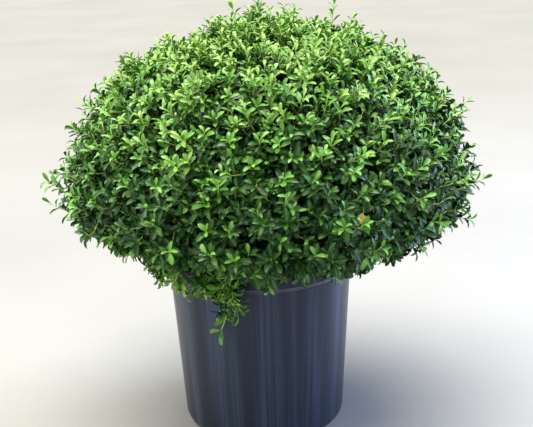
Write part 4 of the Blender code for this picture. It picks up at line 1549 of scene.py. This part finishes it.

# %% [markdown]
# ## Young shoots and old ones
#
# Shoots in the light are young and pale. Those in the shade are older and darker, and differ more from
# one another. The tints also paint the light: the higher a shoot sits in the crown, the paler its leaves
# are made, and the lower, the darker, as painted light and shade on top of their age. The shoots that
# hang over the rim are fresh too, since no shears reach them, and their pale tints paint light on them
# as well. So each kind of shoot has a vigour of its own, the light adds to it, and chance spreads it a
# little.

# %% Dress every shoot with leaves
LEADER_LEAVES = 13
SIDE_LEAVES = 9
TRAIL_SIDE_LEAVES = 7
TRAIL_LEAVES = 18
LEADER_FOOT = 0.26              # how much of a shoot's foot is bare
SHOOT_FOOT = 0.2
TRAIL_FOOT = 0.1
LEADER_VIGOUR = 0.10            # how young each kind of shoot is in the crown's shade
LONG_VIGOUR = 0.34
SKIRT_VIGOUR = 0.68
TRAIL_VIGOUR = 0.24
SIDE_VIGOUR = -0.10
LEADER_AGES = 0.20              # how much the shoots of a kind differ in age
LOW_AGES = 0.7                  # and how much more the leaders do down in the shade
SHOOT_AGES = 0.18
TRAIL_AGES = 0.15
SKIRT_LEAF = 0.92               # size of the leaves
TRAIL_LEAF = 0.95
TRAIL_END_LEAF = 1.15
TRAIL_FRESH = 0.6               # the seat from which the trail's leaves are fresh
TRAIL_SPREAD = 70               # degrees between trail and leaf at the foot, and what is lost by the tip
TRAIL_CLOSES = 25
TRAIL_END_OUT = 0.25            # how much the leaves at its end lean out, and face the sky
TRAIL_END_SKYWARD = 0.8
TRAIL_END_LEAVES = (            # where a leaf sits on the trail's end, and how far it goes aside and down
    (0.72, 0.9, 0.2), (0.78, -0.9, 0.4), (0.86, -1.0, 0.45),
    (0.88, 1.0, -0.1), (0.99, -1.0, 0.1), (1.0, 0.1, 1.0),
)


def dress_trail(chance):
    """The trail's own leaves: a spiral down it, and a few crossing pairs given one by one at its end."""
    dress(trail, shoot_seats(TRAIL_LEAVES, TRAIL_FOOT),
          lambda seat: "fresh" if seat > TRAIL_FRESH else "green", lambda seat: LEAF_LENGTH,
          lambda seat: TRAIL_SPREAD - TRAIL_CLOSES * seat, SKYWARD, chance)
    across = polar(TRAIL_AZIMUTH + 90, 1.0, 0.0)
    away = polar(TRAIL_AZIMUTH, 1.0, 0.0)
    for seat, side, fall in TRAIL_END_LEAVES:
        way = (across * side - Vector((0, 0, fall)) + away * TRAIL_END_OUT).normalized()
        face = away + Vector((0, 0, TRAIL_END_SKYWARD))
        add_leaf("fresh", trail.at(seat), way, face, LEAF_LENGTH * TRAIL_END_LEAF, chance)


chance = random.Random(11)
for shoot in leaders:
    light = light_on(shoot)
    ages = LEADER_AGES + LOW_AGES * max(0.0, -light)
    vigour = LEADER_VIGOUR + vigour_in(light) + chance.gauss(0, ages)
    dress_shoot(shoot, LEADER_LEAVES, LEADER_FOOT, vigour, chance)
for shoot in long_shoots:
    dress_shoot(shoot, LEADER_LEAVES, SHOOT_FOOT, LONG_VIGOUR + vigour_in(light_on(shoot)), chance)
for shoot in skirt:
    vigour = SKIRT_VIGOUR + chance.gauss(0, SHOOT_AGES)
    dress_shoot(shoot, LEADER_LEAVES, SHOOT_FOOT, vigour, chance, SKIRT_LEAF)
for shoot in trail_sides:
    vigour = TRAIL_VIGOUR + chance.gauss(0, TRAIL_AGES)
    dress_shoot(shoot, TRAIL_SIDE_LEAVES, SHOOT_FOOT, vigour, chance, TRAIL_LEAF)
dress_trail(chance)
for shoot in side_shoots:
    vigour = SIDE_VIGOUR + vigour_in(light_on(shoot)) + chance.gauss(0, SHOOT_AGES)
    dress_shoot(shoot, SIDE_LEAVES, SHOOT_FOOT, vigour, chance)
print("leaves on shoots:", {tint: len(group) for tint, group in leaves.items()})

# %% [markdown]
# ## Leaves inside the crown
#
# A holly keeps its leaves for two or three years, so there are old ones all along the twigs, dark and dull
# in the shade. Their tints are darker still, as painted shade for the crown's dark inside. Further in they
# are made larger than life, because then fewer of them are needed to keep the eye out of the crown.

# %% Leaves inside the crown
INSIDE_SPREAD = 70
INSIDE_SKYWARD = 0.2


def dress_inside(limbs, count, size, tint, chance):
    """Older leaves further in, larger, and dark with age and with painted shade, which keep the eye out of
    the crown.
    """
    for limb in limbs:
        seats = [(step + 0.5) / count for step in range(count)]
        dress(limb, seats, lambda seat: tint, lambda seat: LEAF_LENGTH * size,
              lambda seat: INSIDE_SPREAD, INSIDE_SKYWARD, chance)


dress_inside(twigs, count=16, size=1.4, tint="deep", chance=chance)
dress_inside(branchlets, count=22, size=2.2, tint="shade", chance=chance)
dress_inside(branches, count=46, size=2.4, tint="shade", chance=chance)
print("all leaves:", sum(len(group) for group in leaves.values()))

# %% [markdown]
# ## Leaf colour and gloss
#
# A holly leaf has a waxy skin: a soft satin gloss over green. New leaves are thin, yellow-green and
# glossiest, last year's are thick and dark, and the ones inside are dull. So each tint has a base colour,
# a roughness and an index of refraction of its own. A slow noise over the crown makes neighbours differ a
# little, and the leaf's own UVs give it a paler midrib.

# %% Material of the leaves
TINT_DRIFT = 1 / 38             # metres over which the tint changes, 26 mm: about one leaf


def waxy_leaf(name, dark, pale, roughness, ior):
    """A waxy evergreen leaf: satin gloss, a tint that drifts from leaf to leaf, a paler midrib."""
    material, shader, place = new_material(name)
    drift = add_node(material, "ShaderNodeTexNoise", {
        "Vector": place, "Scale": 1 / TINT_DRIFT, "Detail": 3.0})
    share = add_node(material, "ShaderNodeMapRange", {"Value": drift, "From Min": 0.33, "From Max": 0.67})
    blade = add_node(material, "ShaderNodeMix", {
        0: share, 6: linear(dark), 7: linear(pale)}, data_type="RGBA")
    chart = add_node(material, "ShaderNodeUVMap", {}, uv_map="leaf")
    across = add_node(material, "ShaderNodeSeparateXYZ", {0: chart}).outputs[1]
    offset = add_node(material, "ShaderNodeMath", {0: across, 1: 0.5}, operation="SUBTRACT")
    away = add_node(material, "ShaderNodeMath", {0: offset}, operation="ABSOLUTE")
    rib = add_node(material, "ShaderNodeMapRange", {
        "Value": away, "From Min": 0.02, "From Max": 0.09, "To Min": 0.20, "To Max": 0.0})
    tone = add_node(material, "ShaderNodeMix", {0: rib, 6: blade, 7: linear("#b5c98a")}, data_type="RGBA")
    set_inputs(material, shader, {"Base Color": tone, "Roughness": roughness, "IOR": ior})
    return material


LEAF_TINTS = {                  # each tint's darker and paler green, roughness and IOR
    "young": ("#6d963c", "#84aa4f", 0.42, 1.46),
    "fresh": ("#4b8423", "#669936", 0.42, 1.46),
    "green": ("#1e4b08", "#2d6010", 0.43, 1.41),
    # deep and shade are painted shade as well as the green of old leaves
    "deep": ("#11370c", "#1a4715", 0.50, 1.36),
    "shade": ("#081f03", "#0e2b06", 0.55, 1.33),
    "turned": ("#c98a2e", "#d9b04a", 0.45, 1.45),
}
PIECE_LEAVES = 15000            # leaves joined in one piece
for tint, group in leaves.items():
    wax = waxy_leaf("waxy_leaf_" + tint, *LEAF_TINTS[tint])
    for first in range(0, len(group), PIECE_LEAVES):
        name = f"leaves_{tint}_{first // PIECE_LEAVES + 1}"
        leaf_mesh = joined_copies(name, leaf_blanks, group[first:first + PIECE_LEAVES])
        add_piece(name, leaf_mesh, wax, "leaves", *MASSES)
        print(name, triangles(leaf_mesh), "triangles")

# %% [markdown]
# ## Skin of the twigs and shoots
#
# This year's shoots are still green under a thin smooth skin, and last year's twigs are olive and duller.
# Both use the bark's recipe with colours, a grain and a roughness of their own. The thinner a limb is, the
# fewer sides its tube has, and only the trailing shoot, which hangs in full view, has six.

# %% Dress the twigs and shoots
SHOOT_SKIN = bark("green_shoot_skin", "#8fae3f", "#b4d266", grain=0.006, roughness=0.55)
TWIG_BARK = bark("olive_twig_bark", "#5c6230", "#868c4c", grain=0.004, roughness=0.8)
TUBES = (                       # name, limbs, sides and skin of each kind
    ("branchlets", branchlets, 5, TWIG_BARK),
    ("twigs", twigs, 4, TWIG_BARK),
    ("side_shoots", side_shoots + trail_sides, 3, SHOOT_SKIN),
    ("leaders", leaders + long_shoots + skirt, 3, SHOOT_SKIN),
    ("trailing_shoot", [trail], 6, SHOOT_SKIN),
)
for name, limbs, sides, skin in TUBES:
    tube_mesh = slim_tubes(name, limbs, sides)
    add_piece(name, tube_mesh, skin, "bark", *MASSES)
    print(name, triangles(tube_mesh), "triangles")
